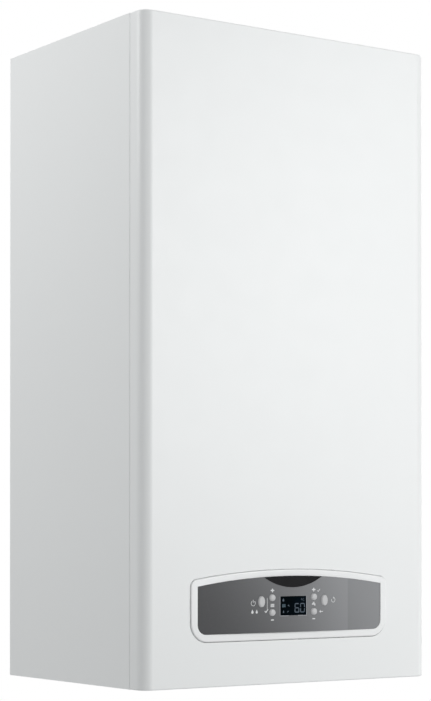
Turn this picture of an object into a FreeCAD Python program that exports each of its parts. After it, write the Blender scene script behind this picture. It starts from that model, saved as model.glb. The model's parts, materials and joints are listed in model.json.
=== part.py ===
import FreeCAD
import Part
import Sketcher
import math
import os
import re

# Wall-hung gas boiler, in millimetres.
# X runs to the right, Y into the wall and Z up; the wall is the plane y = 0.
# The origin lies between the two hanging holes on the rear face.
# Heights in the functions below are taken from the casing's lower edge.

SIZES = {
    # casing and frame
    "width": 400.0,
    "height": 740.0,
    "depth": 296.0,
    "sheet": 1.0,
    "plate": 1.2,
    "corner_radius": 13.0,
    "fold_radius": 1.5,
    "return_depth": 25.5,
    "seam_gap": 0.8,
    "fit_gap": 0.5,
    "running_gap": 0.05,
    "side_flange": 18.0,
    "frame_flange": 30.0,
    "hang_drop": 50.0,
    "hang_spacing": 260.0,
    "hang_radius": 6.0,
    # fixing of the front casing
    "hook_inset": 50.0,
    "hook_drop": 17.0,
    "hook_half": 12.0,
    "hook_gap": 0.3,
    "pin_radius": 3.0,
    "pin_length": 16.0,
    "tab_level": 7.0,
    "screw_radius": 2.0,
    "screw_setback": 22.0,
    # control panel
    "panel_width": 275.8,
    "panel_bottom": 50.0,
    "panel_side": 68.5,
    "panel_crown": 11.0,
    "panel_low_corner": 22.0,
    "panel_top_corner": 9.0,
    "panel_edge": 1.6,
    "panel_proud": 1.6,
    "panel_behind": 6.0,
    "window_gap": 0.38,
    "window_low_gap": 0.54,
    "window_low_corner": 22.0,
    "rim_side": 9.0,
    "rim_low": 8.5,
    "rim_crown": 10.3,
    "fascia_side": 53.2,
    "fascia_corner": 11.0,
    "fascia_thick": 1.6,
    "fascia_sunk": 0.6,
    "fascia_bow": 3.2,
    "inlay_gap": 0.15,
    "floor_thick": 2.3,
    "badge_half": 40.6,
    "badge_drop": 12.8,
    "display_width": 36.4,
    "display_height": 21.5,
    "display_level": 88.2,
    "round_radius": 3.85,
    "round_x": 29.35,
    "round_high": 97.7,
    "round_low": 81.0,
    "oval_half": 4.1,
    "oval_rise": 6.15,
    "oval_x": 44.3,
    "oval_level": 93.5,
    "button_gap": 0.45,
    "button_proud": 2.0,
    "button_travel": 0.8,
    "button_flange": 1.35,
    "pivot_level": 22.0,
    "pivot_depth": 3.0,
    "pivot_radius": 1.0,
    "tray_half": 122.0,
    "tray_depth": 38.0,
    "tray_low": 53.0,
    "tray_high": 104.0,
    "tray_wall": 2.0,
    # connections below
    "floor_level": 42.0,
    "stub_pitch": 66.0,
    "stub_y": 110.0,
    "stub_low": 8.0,
    "large_stub": 13.2,
    "small_stub": 10.45,
    "group_level": 60.0,
    "group_top": 150.0,
    "group_rear": 78.0,
    "group_front": 150.0,
    "group_inner": 50.0,
    "group_inset": 24.0,
    "knob_radius": 12.0,
    "gauge_setback": 78.0,
    "gauge_radius": 20.0,
    "gland_inset": 35.0,
    "gland_setback": 71.0,
    # water side
    "pump_inset": 82.0,
    "pump_radius": 46.0,
    "pump_rear": 106.0,
    "pump_face": 152.0,
    "pump_nose": 232.0,
    "shaft_radius": 4.0,
    "plate_stack": 50.0,
    "plate_half": 95.0,
    "diverter_inset": 88.0,
    "diverter_y": 113.0,
    "diverter_travel": 8.0,
    "stem_radius": 3.0,
    "relief_inset": 50.0,
    "relief_level": 95.0,
    "vessel_radius": 160.0,
    "vessel_wall": 1.5,
    # sealed chamber
    "chamber_inset": 22.0,
    "cover_setback": 38.0,
    "chamber_rim": 14.0,
    "rail_drop": 28.0,
    "seal_thick": 3.0,
    "stack_inset": 65.0,
    "stack_setback": 20.0,
    "burner_rise": 60.0,
    "burner_count": 12.0,
    "walls_drop": 220.0,
    "board_thick": 10.0,
    "fins_height": 57.5,
    "fin_count": 34.0,
    "tube_radius": 8.0,
    "tube_pitch": 23.0,
    "leg_inset": 20.0,
    "fan_x": -30.0,
    "fan_drop": 72.0,
    "fan_radius": 58.0,
    "fan_wheel": 50.0,
    "fan_blades": 20.0,
    "fan_shaft": 4.0,
    "flue_radius": 30.1,
    "flue_rise": 22.0,
    "air_radius": 50.2,
    "air_rise": 14.0,
    "collar_wall": 1.5,
    "collar_screws": 57.0,
}

# Sizes of the inner pieces that follow the casing's width, height or depth.
FOLLOWING = {
    "hook_x": "width / 2 - hook_inset",
    "group_outer": "width / 2 - group_inset",
    "knob_x": "1.5 * stub_pitch",
    "gauge_y": "depth - gauge_setback",
    "gland_x": "width / 2 - gland_inset",
    "gland_y": "depth - gland_setback",
    "pump_x": "width / 2 - pump_inset",
    "pump_level": "215 / 740 * height",
    "diverter_x": "width / 2 - diverter_inset",
    "relief_x": "width / 2 - relief_inset",
    "vessel_thick": "80 / 296 * depth",
    "vessel_level": "520 / 740 * height",
    "chamber_half": "width / 2 - chamber_inset",
    "chamber_rear": "100 / 296 * depth",
    "chamber_front": "depth - cover_setback",
    "chamber_floor": "336 / 740 * height",
    "stack_half": "chamber_half - stack_inset",
    "stack_rear": "124 / 296 * depth",
    "stack_front": "chamber_front - stack_setback",
    "gas_y": "stack_front + 8",
    "burner_top": "chamber_floor + burner_rise",
    "walls_top": "height - walls_drop",
    "leg_x": "chamber_half - leg_inset",
    "fan_level": "height - fan_drop",
    "fan_rear": "153 / 296 * depth",
    "fan_front": "202 / 296 * depth",
    "fan_thick": "fan_front - fan_rear",
    "flue_y": "(fan_rear + fan_front) / 2",
}

doc = FreeCAD.newDocument("gas_boiler")
sheet = doc.addObject("Spreadsheet::Sheet", "sizes")
for row, (alias, number) in enumerate(SIZES.items(), start=1):
    sheet.set(f"A{row}", alias)
    sheet.set(f"B{row}", str(number))
    sheet.setAlias(f"B{row}", alias)
doc.recompute()

NODES = []
LEFT_RIGHT = ("-1", "1")
TURN = {
    "x": FreeCAD.Rotation(FreeCAD.Vector(0, 1, 0), 90),
    "y": FreeCAD.Rotation(FreeCAD.Vector(1, 0, 0), -90),
    "z": FreeCAD.Rotation(),
    "front": FreeCAD.Rotation(FreeCAD.Vector(1, 0, 0), 90),
}

# Values that several sub-parts share, written in terms of the driving sizes.
TOP = "(height - plate)"
SIDE_DEPTH = "(depth - return_depth - seam_gap)"
PLATE_FRONT = "(depth - return_depth - seam_gap - sheet - fit_gap)"
FRAME_HALF = "(width / 2 - sheet - fit_gap)"
PANEL_HALF = "(panel_width / 2)"
PANEL_FRONT = "(depth + panel_proud)"
PANEL_REAR = "(depth - panel_behind)"
PANEL_SIDE_TOP = "(panel_bottom + panel_side)"
FASCIA_HALF = "(panel_width / 2 - rim_side)"
FASCIA_LOW = "(panel_bottom + rim_low)"
FASCIA_SIDE_TOP = "(panel_bottom + rim_low + fascia_side)"
FASCIA_FRONT = "(depth + panel_proud - fascia_sunk)"
FASCIA_CROWN = "(depth + panel_proud - fascia_sunk + fascia_bow)"
BOW_RADIUS = f"(({FASCIA_HALF} ^ 2 + fascia_bow ^ 2) / (2 * fascia_bow))"
RECESS = "(depth + panel_proud - fascia_sunk - fascia_thick)"
PANEL_FLOOR = "(depth + panel_proud - fascia_sunk - fascia_thick - floor_thick)"
BUTTON_REAR = "(depth + panel_proud - fascia_sunk - fascia_thick - floor_thick - 3.4)"
BOARD_FRONT = "(depth + panel_proud - fascia_sunk - fascia_thick - floor_thick - 8.5)"
PIVOT_Y = "(depth - pivot_depth)"
PIVOT_Z = "(panel_bottom + pivot_level)"
CHAMBER_TOP = "(height - plate - fit_gap)"
COVER_REAR = "(chamber_front + seal_thick)"
COVER_TOP = "(height - rail_drop - fit_gap)"
FINS_LOW = "(walls_top + fit_gap)"
FINS_TOP = "(walls_top + fit_gap + fins_height)"
TUBE_LEVEL = "(walls_top + fit_gap + fins_height / 2)"
HOOD_REAR = "(stack_rear + 2)"
FAN_MIDDLE = "((fan_rear + fan_front) / 2)"


def named(word):
    """Reference to one size on the sheet, or the bracketed rule of a size that follows others."""
    name = word[0]
    if name in FOLLOWING:
        return f"({bound(FOLLOWING[name])})"
    return "sizes." + name if name in SIZES else name


def bound(text):
    """Turn size names into references to the sheet."""
    return re.sub(r"[a-z][a-z_]*", named, str(text))


def value(text):
    return float(sheet.evalExpression(bound(text)))


def up(text):
    """Height above the casing's lower edge as a height in the part's frame."""
    return f"({text}) + hang_drop - height"


def place(solid, x, y, z, axis="z"):
    solid.Placement = FreeCAD.Placement(FreeCAD.Vector(), TURN[axis])
    for name, text in zip("xyz", (x, y, z)):
        solid.setExpression("Placement.Base." + name, bound(text))
    return solid


def box(label, x, y, z):
    """Block between two x, two y and two heights."""
    solid = doc.addObject("Part::Box", label)
    for side, (low, high) in zip(("Length", "Width", "Height"), (x, y, z)):
        solid.setExpression(side, bound(f"({high}) - ({low})"))
    return place(solid, x[0], y[0], up(z[0]))


def rod(label, axis, centre, span, radius):
    """Round bar along an axis; centre holds the two other coordinates in x, y, z order."""
    solid = doc.addObject("Part::Cylinder", label)
    solid.setExpression("Radius", bound(radius))
    solid.setExpression("Height", bound(f"({span[1]}) - ({span[0]})"))
    if axis == "x":
        return place(solid, span[0], centre[0], up(centre[1]), "x")
    if axis == "y":
        return place(solid, centre[0], span[0], up(centre[1]), "y")
    return place(solid, centre[0], centre[1], up(span[0]), "z")


def frustum(label, low, high, z):
    """Four-sided hood between a lower and an upper rectangle (x0, x1, y0, y1)."""
    solid = doc.addObject("Part::Wedge", label)
    limits = {
        "Xmin": low[0], "Xmax": low[1], "Zmin": f"-({low[3]})", "Zmax": f"-({low[2]})",
        "X2min": high[0], "X2max": high[1], "Z2min": f"-({high[3]})", "Z2max": f"-({high[2]})",
        "Ymin": up(z[0]), "Ymax": up(z[1]),
    }
    for name, text in limits.items():
        solid.setExpression(name, bound(text))
    return place(solid, "0", "0", "0", "front")


def fuse(label, *parts):
    joined = doc.addObject("Part::MultiFuse", label)
    joined.Shapes = list(parts)
    joined.Refine = True
    return joined


def group(label, *parts):
    """Separate solids held by one object."""
    gathered = doc.addObject("Part::Compound", label)
    gathered.Links = list(parts)
    return gathered


def cut(label, base, *tools):
    removed = doc.addObject("Part::Cut", label)
    removed.Base = base
    removed.Tool = tools[0] if len(tools) == 1 else group(label + "_tools", *tools)
    return removed


def tube(label, axis, centre, span, outer, inner):
    shell = rod(label + "_outer", axis, centre, span, outer)
    bore = rod(label + "_bore", axis, centre, span, inner)
    return cut(label, shell, bore)


def arc_between(start, end, radius, turn_left):
    """Shorter arc from start to end, with its centre on the left or right of the way."""
    chord = end - start
    side = FreeCAD.Vector(-chord.y, chord.x, 0).normalize()
    reach = math.sqrt(max(radius ** 2 - (chord.Length / 2) ** 2, 0.0))
    centre = (start + end) * 0.5 + side * (reach if turn_left else -reach)
    first = math.atan2(start.y - centre.y, start.x - centre.x)
    last = math.atan2(end.y - centre.y, end.x - centre.x)
    circle = Part.Circle(centre, FreeCAD.Vector(0, 0, 1), radius)
    return Part.ArcOfCircle(circle, first, last) if turn_left else Part.ArcOfCircle(circle, last, first)


def pin_vertex(sketch, index, geometry, end, texts):
    """Hold one end of a line at bound coordinates."""
    for kind, axis, text in (("DistanceX", -2, texts[0]), ("DistanceY", -1, texts[1])):
        if text == "0":
            sketch.addConstraint(Sketcher.Constraint("PointOnObject", geometry, end, axis))
            continue
        held = sketch.addConstraint(Sketcher.Constraint(kind, -1, 1, geometry, end, value(text)))
        sketch.renameConstraint(held, f"{kind}_{index}")
        sketch.setExpression(f"Constraints.{kind}_{index}", bound(text))


def outline(body, plane, corners, arcs, offset):
    """Closed outline on one of the body's origin planes; arcs: segment number -> (radius, turns left)."""
    sketch = body.newObject("Sketcher::SketchObject", body.Name + "_outline")
    support = next(feature for feature in body.Origin.OriginFeatures if feature.Role == plane)
    sketch.AttachmentSupport = [(support, "")]
    sketch.MapMode = "FlatFace"
    sketch.setExpression("AttachmentOffset.Base.z", bound(offset))
    points = [FreeCAD.Vector(value(u), value(v), 0) for u, v in corners]
    ends = []
    for index, start in enumerate(points):
        end = points[(index + 1) % len(points)]
        if index in arcs:
            radius, turn_left = arcs[index]
            number = sketch.addGeometry(arc_between(start, end, value(radius), turn_left), False)
            ends.append((number, 1, 2) if turn_left else (number, 2, 1))
        else:
            number = sketch.addGeometry(Part.LineSegment(start, end), False)
            ends.append((number, 1, 2))
    for index, (number, first, last) in enumerate(ends):
        following = ends[(index + 1) % len(ends)]
        sketch.addConstraint(Sketcher.Constraint("Coincident", number, last, following[0], following[1]))
    for index, (number, first, last) in enumerate(ends):
        pin_vertex(sketch, index, number, first, corners[index])
    for index, (radius, turn_left) in arcs.items():
        held = sketch.addConstraint(Sketcher.Constraint("Radius", ends[index][0], value(radius)))
        sketch.renameConstraint(held, f"radius_{index}")
        sketch.setExpression(f"Constraints.radius_{index}", bound(radius))
    return sketch


def prism(label, plane, corners, span, arcs=None):
    """Padded outline: on XY between two heights, on XZ between two depths in front of the wall."""
    body = doc.addObject("PartDesign::Body", label)
    offset = up(span[0]) if plane == "XY_Plane" else span[0]
    if plane == "XZ_Plane":
        corners = [(u, up(v)) for u, v in corners]
    sketch = outline(body, plane, corners, arcs or {}, offset)
    pad = body.newObject("PartDesign::Pad", label + "_pad")
    pad.Profile = sketch
    pad.setExpression("Length", bound(f"({span[1]}) - ({span[0]})"))
    sketch.Visibility = False
    doc.recompute()
    return body


def round_edges(body, radius, wanted):
    """Round those edges of a body that the test picks."""
    before = body.Tip
    names = [f"Edge{number}" for number, edge in enumerate(before.Shape.Edges, start=1) if wanted(edge)]
    rounding = body.newObject("PartDesign::Fillet", body.Name + "_rounding")
    rounding.Base = (before, names)
    rounding.setExpression("Radius", bound(radius))
    doc.recompute()
    return body


def lathe(label, axis, position, profile):
    """Turned solid; the profile lists (radius, length along the axis), the axis may be x, y, z or front."""
    body = doc.addObject("PartDesign::Body", label)
    sketch = outline(body, "XZ_Plane", profile, {}, "0")
    turned = body.newObject("PartDesign::Revolution", label + "_turned")
    turned.Profile = sketch
    turned.ReferenceAxis = (sketch, ["V_Axis"])
    turned.Angle = 360
    sketch.Visibility = False
    place(body, position[0], position[1], up(position[2]), axis)
    doc.recompute()
    return body


def bent_bar(path, radius, bend):
    """Round bar along corner points with rounded bends, as a shape."""
    points = [FreeCAD.Vector(*point) for point in path]
    edges = []
    start = points[0]
    for before, corner, after in zip(points, points[1:], points[2:]):
        inward = (before - corner).normalize()
        onward = (after - corner).normalize()
        half = inward.getAngle(onward) / 2
        reach = bend / math.tan(half)
        first = corner + inward * reach
        last = corner + onward * reach
        middle = corner + (inward + onward).normalize() * (bend / math.sin(half) - bend)
        if (first - start).Length > 1e-6:
            edges.append(Part.makeLine(start, first))
        edges.append(Part.Arc(first, middle, last).toShape())
        start = last
    edges.append(Part.makeLine(start, points[-1]))
    spine = Part.Wire(edges)
    ring = Part.Wire(Part.makeCircle(radius, points[0], points[1] - points[0]))
    return spine.makePipeShell([ring], True, False)


def pipe(label, path, radius, wall, bend):
    """Bent tube through points given as (x, y, height) texts."""
    route = [(value(x), value(y), value(up(z))) for x, y, z in path]
    shape = bent_bar(route, value(radius), value(bend))
    shape = shape.cut(bent_bar(route, value(radius) - value(wall), value(bend)))
    solid = doc.addObject("Part::Feature", label)
    solid.Shape = shape
    return solid


def ellipse_bar(label, x, level, half, rise, span):
    """Upright oval bar between two depths in front of the wall."""
    curve = doc.addObject("Part::Ellipse", label + "_curve")
    curve.setExpression("MajorRadius", bound(rise))
    curve.setExpression("MinorRadius", bound(half))
    upright = FreeCAD.Rotation(FreeCAD.Vector(1, 0, 0), 90).multiply(
        FreeCAD.Rotation(FreeCAD.Vector(0, 0, 1), 90))
    curve.Placement = FreeCAD.Placement(FreeCAD.Vector(), upright)
    for name, text in zip("xyz", (x, f"-({span[0]})", up(level))):
        curve.setExpression("Placement.Base." + name, bound(text))
    bar = doc.addObject("Part::Extrusion", label)
    bar.Base = curve
    bar.DirMode = "Custom"
    bar.Dir = FreeCAD.Vector(0, -1, 0)
    bar.setExpression("LengthFwd", bound(f"({span[1]}) - ({span[0]})"))
    bar.Solid = True
    doc.recompute()
    return bar


def node(name, solid):
    """Enter a finished sub-part."""
    solid.Label = name
    NODES.append(solid)
    return solid


def is_upright(edge):
    direction = edge.Vertexes[-1].Point - edge.Vertexes[0].Point
    return len(edge.Vertexes) == 2 and abs(direction.x) < 1e-6 and abs(direction.y) < 1e-6


def runs_deep(edge):
    direction = edge.Vertexes[-1].Point - edge.Vertexes[0].Point
    return len(edge.Vertexes) == 2 and abs(direction.x) < 1e-6 and abs(direction.z) < 1e-6


def middle_of(edge):
    return edge.valueAt((edge.FirstParameter + edge.LastParameter) / 2)


# Frame and outer sheets


def back_frame():
    tall = ("0", TOP + " - fit_gap")
    wall = box("frame_wall", (f"-{FRAME_HALF}", FRAME_HALF), ("-plate", "0"), tall)
    left = box("frame_left", (f"-{FRAME_HALF}", f"-{FRAME_HALF} + plate"), ("-frame_flange", "0"), tall)
    right = box("frame_right", (f"{FRAME_HALF} - plate", FRAME_HALF), ("-frame_flange", "0"), tall)
    foot = box("frame_foot", (f"-{FRAME_HALF}", FRAME_HALF), ("-frame_flange", "0"), ("0", "plate"))
    folded = fuse("frame_folded", wall, left, right, foot)
    holes = [
        rod("frame_hole", "y", (f"{side} * hang_spacing / 2", "height - hang_drop"), ("-2 * plate", "plate"),
            "hang_radius")
        for side in LEFT_RIGHT
    ]
    node("back_frame", cut("frame_drilled", folded, *holes))


def side_panel(name, side):
    face = f"{side} * width / 2"
    inner = f"{side} * (width / 2 - sheet)"
    lip = f"{side} * (width / 2 - side_flange)"
    corners = [
        (face, "0"), (face, f"-{SIDE_DEPTH}"), (lip, f"-{SIDE_DEPTH}"),
        (lip, f"-{SIDE_DEPTH} + sheet"), (inner, f"-{SIDE_DEPTH} + sheet"), (inner, "0"),
    ]
    body = prism(name + "_sheet", "XY_Plane", corners, ("0", "height"))
    corner = FreeCAD.Vector(value(face), value(f"-{SIDE_DEPTH}"), 0)

    def at_fold(edge):
        point = middle_of(edge)
        return is_upright(edge) and abs(point.x - corner.x) < 0.1 and abs(point.y - corner.y) < 0.1

    node(name, round_edges(body, "0.6 * fold_radius", at_fold))


def top_plate():
    lid = box("lid", (f"-{FRAME_HALF}", FRAME_HALF), (f"-{PLATE_FRONT}", "0"), (TOP, "height"))
    rail_half = "(width / 2 - side_flange - 2 * fit_gap)"
    rail = box("lid_rail", (f"-{rail_half}", rail_half), (f"-{PLATE_FRONT}", f"-{PLATE_FRONT} + plate"),
               ("height - rail_drop", "height"))
    pins = [
        rod("lid_pin", "y", (f"{side} * hook_x", "height - hook_drop"),
            (f"-{PLATE_FRONT} - pin_length", f"-{PLATE_FRONT} + plate"), "pin_radius")
        for side in LEFT_RIGHT
    ]
    folded = fuse("lid_folded", lid, rail, *pins)
    flue_hole = rod("lid_hole", "z", ("0", "-flue_y"), ("height - 3 * plate", "height + plate"),
                    "air_radius - 3")
    drilled = [
        rod("lid_screw_hole", "z", collar_screw(number), ("height - 3 * plate", "height + plate"),
            "screw_radius + running_gap")
        for number in range(4)
    ]
    node("top_plate", cut("lid_drilled", folded, flue_hole, *drilled))


def collar_screw(number):
    """Place of one of the four screws that hold the air collar."""
    reach = "collar_screws * sqrt(0.5)"
    x_side = "1" if number in (0, 3) else "-1"
    y_side = "1" if number in (0, 1) else "-1"
    return f"{x_side} * {reach}", f"-flue_y + {y_side} * {reach}"


def stub_places():
    """Centre and radius of the five pipe connections, from left to right."""
    radii = ("large_stub", "small_stub", "large_stub", "small_stub", "large_stub")
    return [(f"{step} * stub_pitch", radius) for step, radius in zip((-2, -1, 0, 1, 2), radii)]


def panel_bracket(side):
    """Upright web with a bearing for the control panel's pivot."""
    deck = "(floor_level + plate / 2)"
    limits = sorted((f"{side} * ({PANEL_HALF} + 1.6)", f"{side} * ({PANEL_HALF} + 3.6)"), key=value)
    web = box("bracket_web", limits, ("-depth + sheet + 0.4", f"-{PLATE_FRONT} + 30"),
              (deck, f"{PIVOT_Z} + 6"))
    bearing = rod("bracket_bearing", "x", (f"-{PIVOT_Y}", PIVOT_Z), (f"{limits[0]} - 1", f"{limits[1]} + 1"),
                  "pivot_radius + running_gap")
    return cut("bracket", web, bearing)


def bottom_plate():
    half = "(width / 2 - sheet - 2 * fit_gap - plate)"
    deck = box("deck", (f"-{half}", half), (f"-{PLATE_FRONT}", "-plate - fit_gap"),
               ("floor_level", "floor_level + plate"))
    foot_level = "(tab_level + sheet + hook_gap)"
    pieces = [deck]
    for side in LEFT_RIGHT:
        middle = f"{side} * hook_x"
        wide = (f"{middle} - 10", f"{middle} + 10")
        pieces.append(box("deck_tab", wide, (f"-{PLATE_FRONT}", f"-{PLATE_FRONT} + plate"),
                          (foot_level, "floor_level + plate")))
        pieces.append(box("deck_foot", wide, ("-depth + screw_setback - 6", f"-{PLATE_FRONT} + plate"),
                          (foot_level, f"{foot_level} + plate")))
    pieces += [panel_bracket(side) for side in LEFT_RIGHT]
    folded = fuse("deck_folded", *pieces)
    holes = [
        rod("deck_hole", "z", (x, "-stub_y"), ("floor_level - plate", "floor_level + 2 * plate"),
            f"{radius} + 2")
        for x, radius in stub_places()
    ]
    for side in LEFT_RIGHT:
        holes.append(rod("deck_screw_hole", "z", (f"{side} * hook_x", "-depth + screw_setback"),
                         (f"{foot_level} - plate", f"{foot_level} + 2 * plate"),
                         "screw_radius + running_gap"))
    through = ("floor_level - plate", "floor_level + 2 * plate")
    holes.append(rod("deck_knob_hole", "z", ("-knob_x", "-stub_y"), through, "shaft_radius + 1"))
    holes.append(rod("deck_gauge_hole", "z", ("knob_x", "-gauge_y"), through, "gauge_radius + fit_gap"))
    holes.append(rod("deck_gland_hole", "z", ("-gland_x", "-gland_y"), through, "7.2"))
    node("bottom_plate", cut("deck_drilled", folded, *holes))


def casing_screws():
    """The two screws that hold the front casing from below."""
    screws = []
    for side in LEFT_RIGHT:
        centre = (f"{side} * hook_x", "-depth + screw_setback")
        head = rod("casing_screw_head", "z", centre, ("tab_level - hook_gap - 3", "tab_level - hook_gap"),
                   "2 * screw_radius")
        shank = rod("casing_screw_shank", "z", centre, ("tab_level - hook_gap", "tab_level + 9"),
                    "screw_radius")
        screws.append(fuse("casing_screw", head, shank))
    return screws


def casing_outline(inset, rear):
    half = f"(width / 2 - {inset})"
    front = f"(depth - {inset})"
    bend = f"(corner_radius - {inset})"
    corners = [
        (f"-{half}", f"-{rear}"), (f"-{half}", f"-{front} + {bend}"), (f"-{half} + {bend}", f"-{front}"),
        (f"{half} - {bend}", f"-{front}"), (half, f"-{front} + {bend}"), (half, f"-{rear}"),
    ]
    return corners, {1: (bend, True), 3: (bend, True)}


def casing_shell():
    rear = "(depth - return_depth)"
    corners, arcs = casing_outline("0", rear)
    block = prism("casing_block", "XY_Plane", corners, ("0", "height"), arcs)
    rear_y = value(f"-{rear}")

    def on_rim(edge):
        return not is_upright(edge) and middle_of(edge).y < rear_y - 0.1

    round_edges(block, "fold_radius", on_rim)
    corners, arcs = casing_outline("sheet", f"({rear} - 5)")
    hollow = prism("casing_hollow", "XY_Plane", corners, ("sheet", "height - sheet"), arcs)
    return cut("casing_tray", block, hollow)


def panel_outline(spread, low_spread):
    """Arched outline of the control panel, widened at the sides and top, and below."""
    half = f"({PANEL_HALF} + {spread})"
    low = f"(panel_bottom - {low_spread})"
    side_top = f"({PANEL_SIDE_TOP} + {spread})"
    corners = [(f"-{half}", low), (half, low), (half, side_top), (f"-{half}", side_top)]
    arch = f"(({half} ^ 2 + panel_crown ^ 2) / (2 * panel_crown))"
    return corners, {2: (arch, True)}


def panel_prism(label, spread, low_spread, low_corner, span):
    corners, arcs = panel_outline(spread, low_spread)
    body = prism(label, "XZ_Plane", corners, span, arcs)
    limit = value(up("panel_bottom")) + 5
    round_edges(body, low_corner, lambda edge: runs_deep(edge) and middle_of(edge).z < limit)
    return round_edges(body, f"panel_top_corner + {spread}",
                       lambda edge: runs_deep(edge) and is_high_corner(edge))


def is_high_corner(edge):
    return middle_of(edge).z > value(up("panel_bottom + 0.7 * panel_side"))


def front_casing():
    welded = [casing_shell()]
    holes = [panel_prism("casing_window", "window_gap", "window_low_gap", "window_low_corner",
                         ("depth - 3 * sheet", "depth + 3 * sheet"))]
    for side in LEFT_RIGHT:
        middle = f"{side} * hook_x"
        wide = (f"{middle} - hook_half", f"{middle} + hook_half")
        hook_rear = "(depth - return_depth + 5)"
        welded.append(box("casing_hook", wide, (f"-{hook_rear} - plate", f"-{hook_rear}"),
                          ("height - 2 * hook_drop", "height - sheet / 2")))
        holes.append(rod("casing_hook_hole", "y", (middle, "height - hook_drop"),
                         (f"-{hook_rear} - 2 * plate", f"-{hook_rear} + plate"), "pin_radius + hook_gap"))
        riser = "(depth - screw_setback + 9)"
        welded.append(box("casing_riser", wide, (f"-{riser}", f"-{riser} + sheet"),
                          ("sheet / 2", "tab_level + sheet")))
        welded.append(box("casing_tab", wide, (f"-{riser}", "-depth + screw_setback + 6"),
                          ("tab_level", "tab_level + sheet")))
        for level in (("-sheet", "2 * sheet"), ("tab_level - sheet / 2", "tab_level + 2 * sheet")):
            reach = "2.6 * screw_radius" if level[0] == "-sheet" else "(screw_radius + fit_gap)"
            holes.append(box("casing_notch", (f"{middle} - {reach}", f"{middle} + {reach}"),
                             (f"-depth + screw_setback - {reach}", "-depth + screw_setback + 12"), level))
    node("front_casing", cut("casing_pierced", fuse("casing_welded", *welded), *holes))


# Control panel


def fascia_prism(label, spread, span):
    half = f"({FASCIA_HALF} + {spread})"
    low = f"({FASCIA_LOW} - {spread})"
    side_top = f"({FASCIA_SIDE_TOP} + {spread})"
    corners = [(f"-{half}", low), (half, low), (half, side_top), (f"-{half}", side_top)]
    arch = f"(({half} ^ 2 + rim_crown ^ 2) / (2 * rim_crown))"
    body = prism(label, "XZ_Plane", corners, span, {2: (arch, True)})
    limit = value(up(FASCIA_LOW)) + 5
    return round_edges(body, f"fascia_corner + {spread}",
                       lambda edge: runs_deep(edge) and middle_of(edge).z < limit)


def bowed(label, solid, spread):
    """Shape a solid's front to the fascia's bow, standing out from it by a spread."""
    crown = f"({FASCIA_CROWN} + {spread})"
    high = f"({PANEL_SIDE_TOP} + 2 * panel_crown)"
    block = box(label + "_block", (f"-{PANEL_HALF}", PANEL_HALF), (f"-{crown} - 5", f"-{RECESS} - 0.2"),
                ("panel_bottom", high))
    bow = rod(label + "_bow", "z", ("0", f"-{crown} + {BOW_RADIUS}"), ("panel_bottom - 5", f"{high} + 5"),
              BOW_RADIUS)
    return cut(label, solid, cut(label + "_waste", block, bow))


def bow_at(x):
    """How far the bow lifts the fascia at a place across it."""
    return f"(fascia_bow * (1 - (({x}) / {FASCIA_HALF}) ^ 2))"


def badge_prism(label, spread, span):
    half = f"(badge_half + 2 * {spread})"
    arch = f"(({FASCIA_HALF} ^ 2 + rim_crown ^ 2) / (2 * rim_crown))"
    crown = f"({FASCIA_SIDE_TOP} + rim_crown)"
    tip = f"({crown} - {arch} + sqrt({arch} ^ 2 - {half} ^ 2) + {spread})"
    belly = f"({tip} - {crown} + badge_drop + {spread})"
    lower = f"(({half} ^ 2 + {belly} ^ 2) / (2 * {belly}))"
    corners = [(f"-{half}", tip), (half, tip)]
    return prism(label, "XZ_Plane", corners, span, {0: (lower, True), 1: (arch, True)})


def round_places():
    """Name, place and height of the four round buttons."""
    return [
        ("heating_plus_button", "-round_x", "round_high"),
        ("heating_minus_button", "-round_x", "round_low"),
        ("water_plus_button", "round_x", "round_high"),
        ("water_minus_button", "round_x", "round_low"),
    ]


def oval_places():
    return [("power_button", "-oval_x", "oval_level"), ("reset_button", "oval_x", "oval_level")]


def button_holes(label, span):
    """Bars that cut the openings for the buttons."""
    bars = []
    for name, x, level in round_places():
        bars.append(rod(label + "_round", "y", (x, level), (f"-{span[1]}", f"-{span[0]}"),
                        "round_radius + button_gap"))
    for name, x, level in oval_places():
        bars.append(ellipse_bar(label + "_oval", x, level, "oval_half + button_gap",
                                "oval_rise + button_gap", span))
    return bars


def display_block(label, spread, span):
    half = f"(display_width / 2 + {spread})"
    rise = f"(display_height / 2 + {spread})"
    return box(label, (f"-{half}", half), (f"-{span[1]}", f"-{span[0]}"),
               (f"display_level - {rise}", f"display_level + {rise}"))


def post_places():
    return [(f"{side} * 54", level) for side in LEFT_RIGHT for level in ("68", "98")]


def control_bezel():
    front = value(f"-{PANEL_FRONT}")
    block = panel_prism("bezel_block", "0", "0", "panel_low_corner", (PANEL_REAR, PANEL_FRONT))
    round_edges(block, "panel_edge", lambda edge: abs(middle_of(edge).y - front) < 0.01)
    recess = fascia_prism("bezel_recess", "inlay_gap", (RECESS, f"{PANEL_FRONT} + 2"))
    cavity = box("bezel_cavity", ("-tray_half + 4", "tray_half - 4"),
                 (f"-{PANEL_FLOOR}", f"-{PANEL_REAR} + 1"),
                 ("62", "104"))
    through = (f"({PANEL_FLOOR} - 1)", f"({RECESS} + 1)")
    opening = display_block("bezel_opening", "inlay_gap", through)
    shell = cut("bezel_shell", block,
                fuse("bezel_hollows", recess, cavity, opening, *button_holes("bezel", through)))
    posts = [
        rod("bezel_post", "y", (x, level), (f"-{PANEL_FLOOR} - 0.5", f"-{BOARD_FRONT}"), "2.5")
        for x, level in post_places()
    ]
    sockets = [
        rod("bezel_socket", "x", (f"-{PIVOT_Y}", PIVOT_Z), span, "pivot_radius")
        for span in ((f"-{PANEL_HALF} - 1", f"-{PANEL_HALF} + 8"), (f"{PANEL_HALF} - 8", f"{PANEL_HALF} + 1"))
    ]
    node("control_bezel", cut("bezel_drilled", fuse("bezel_posted", shell, *posts), *sockets))


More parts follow.
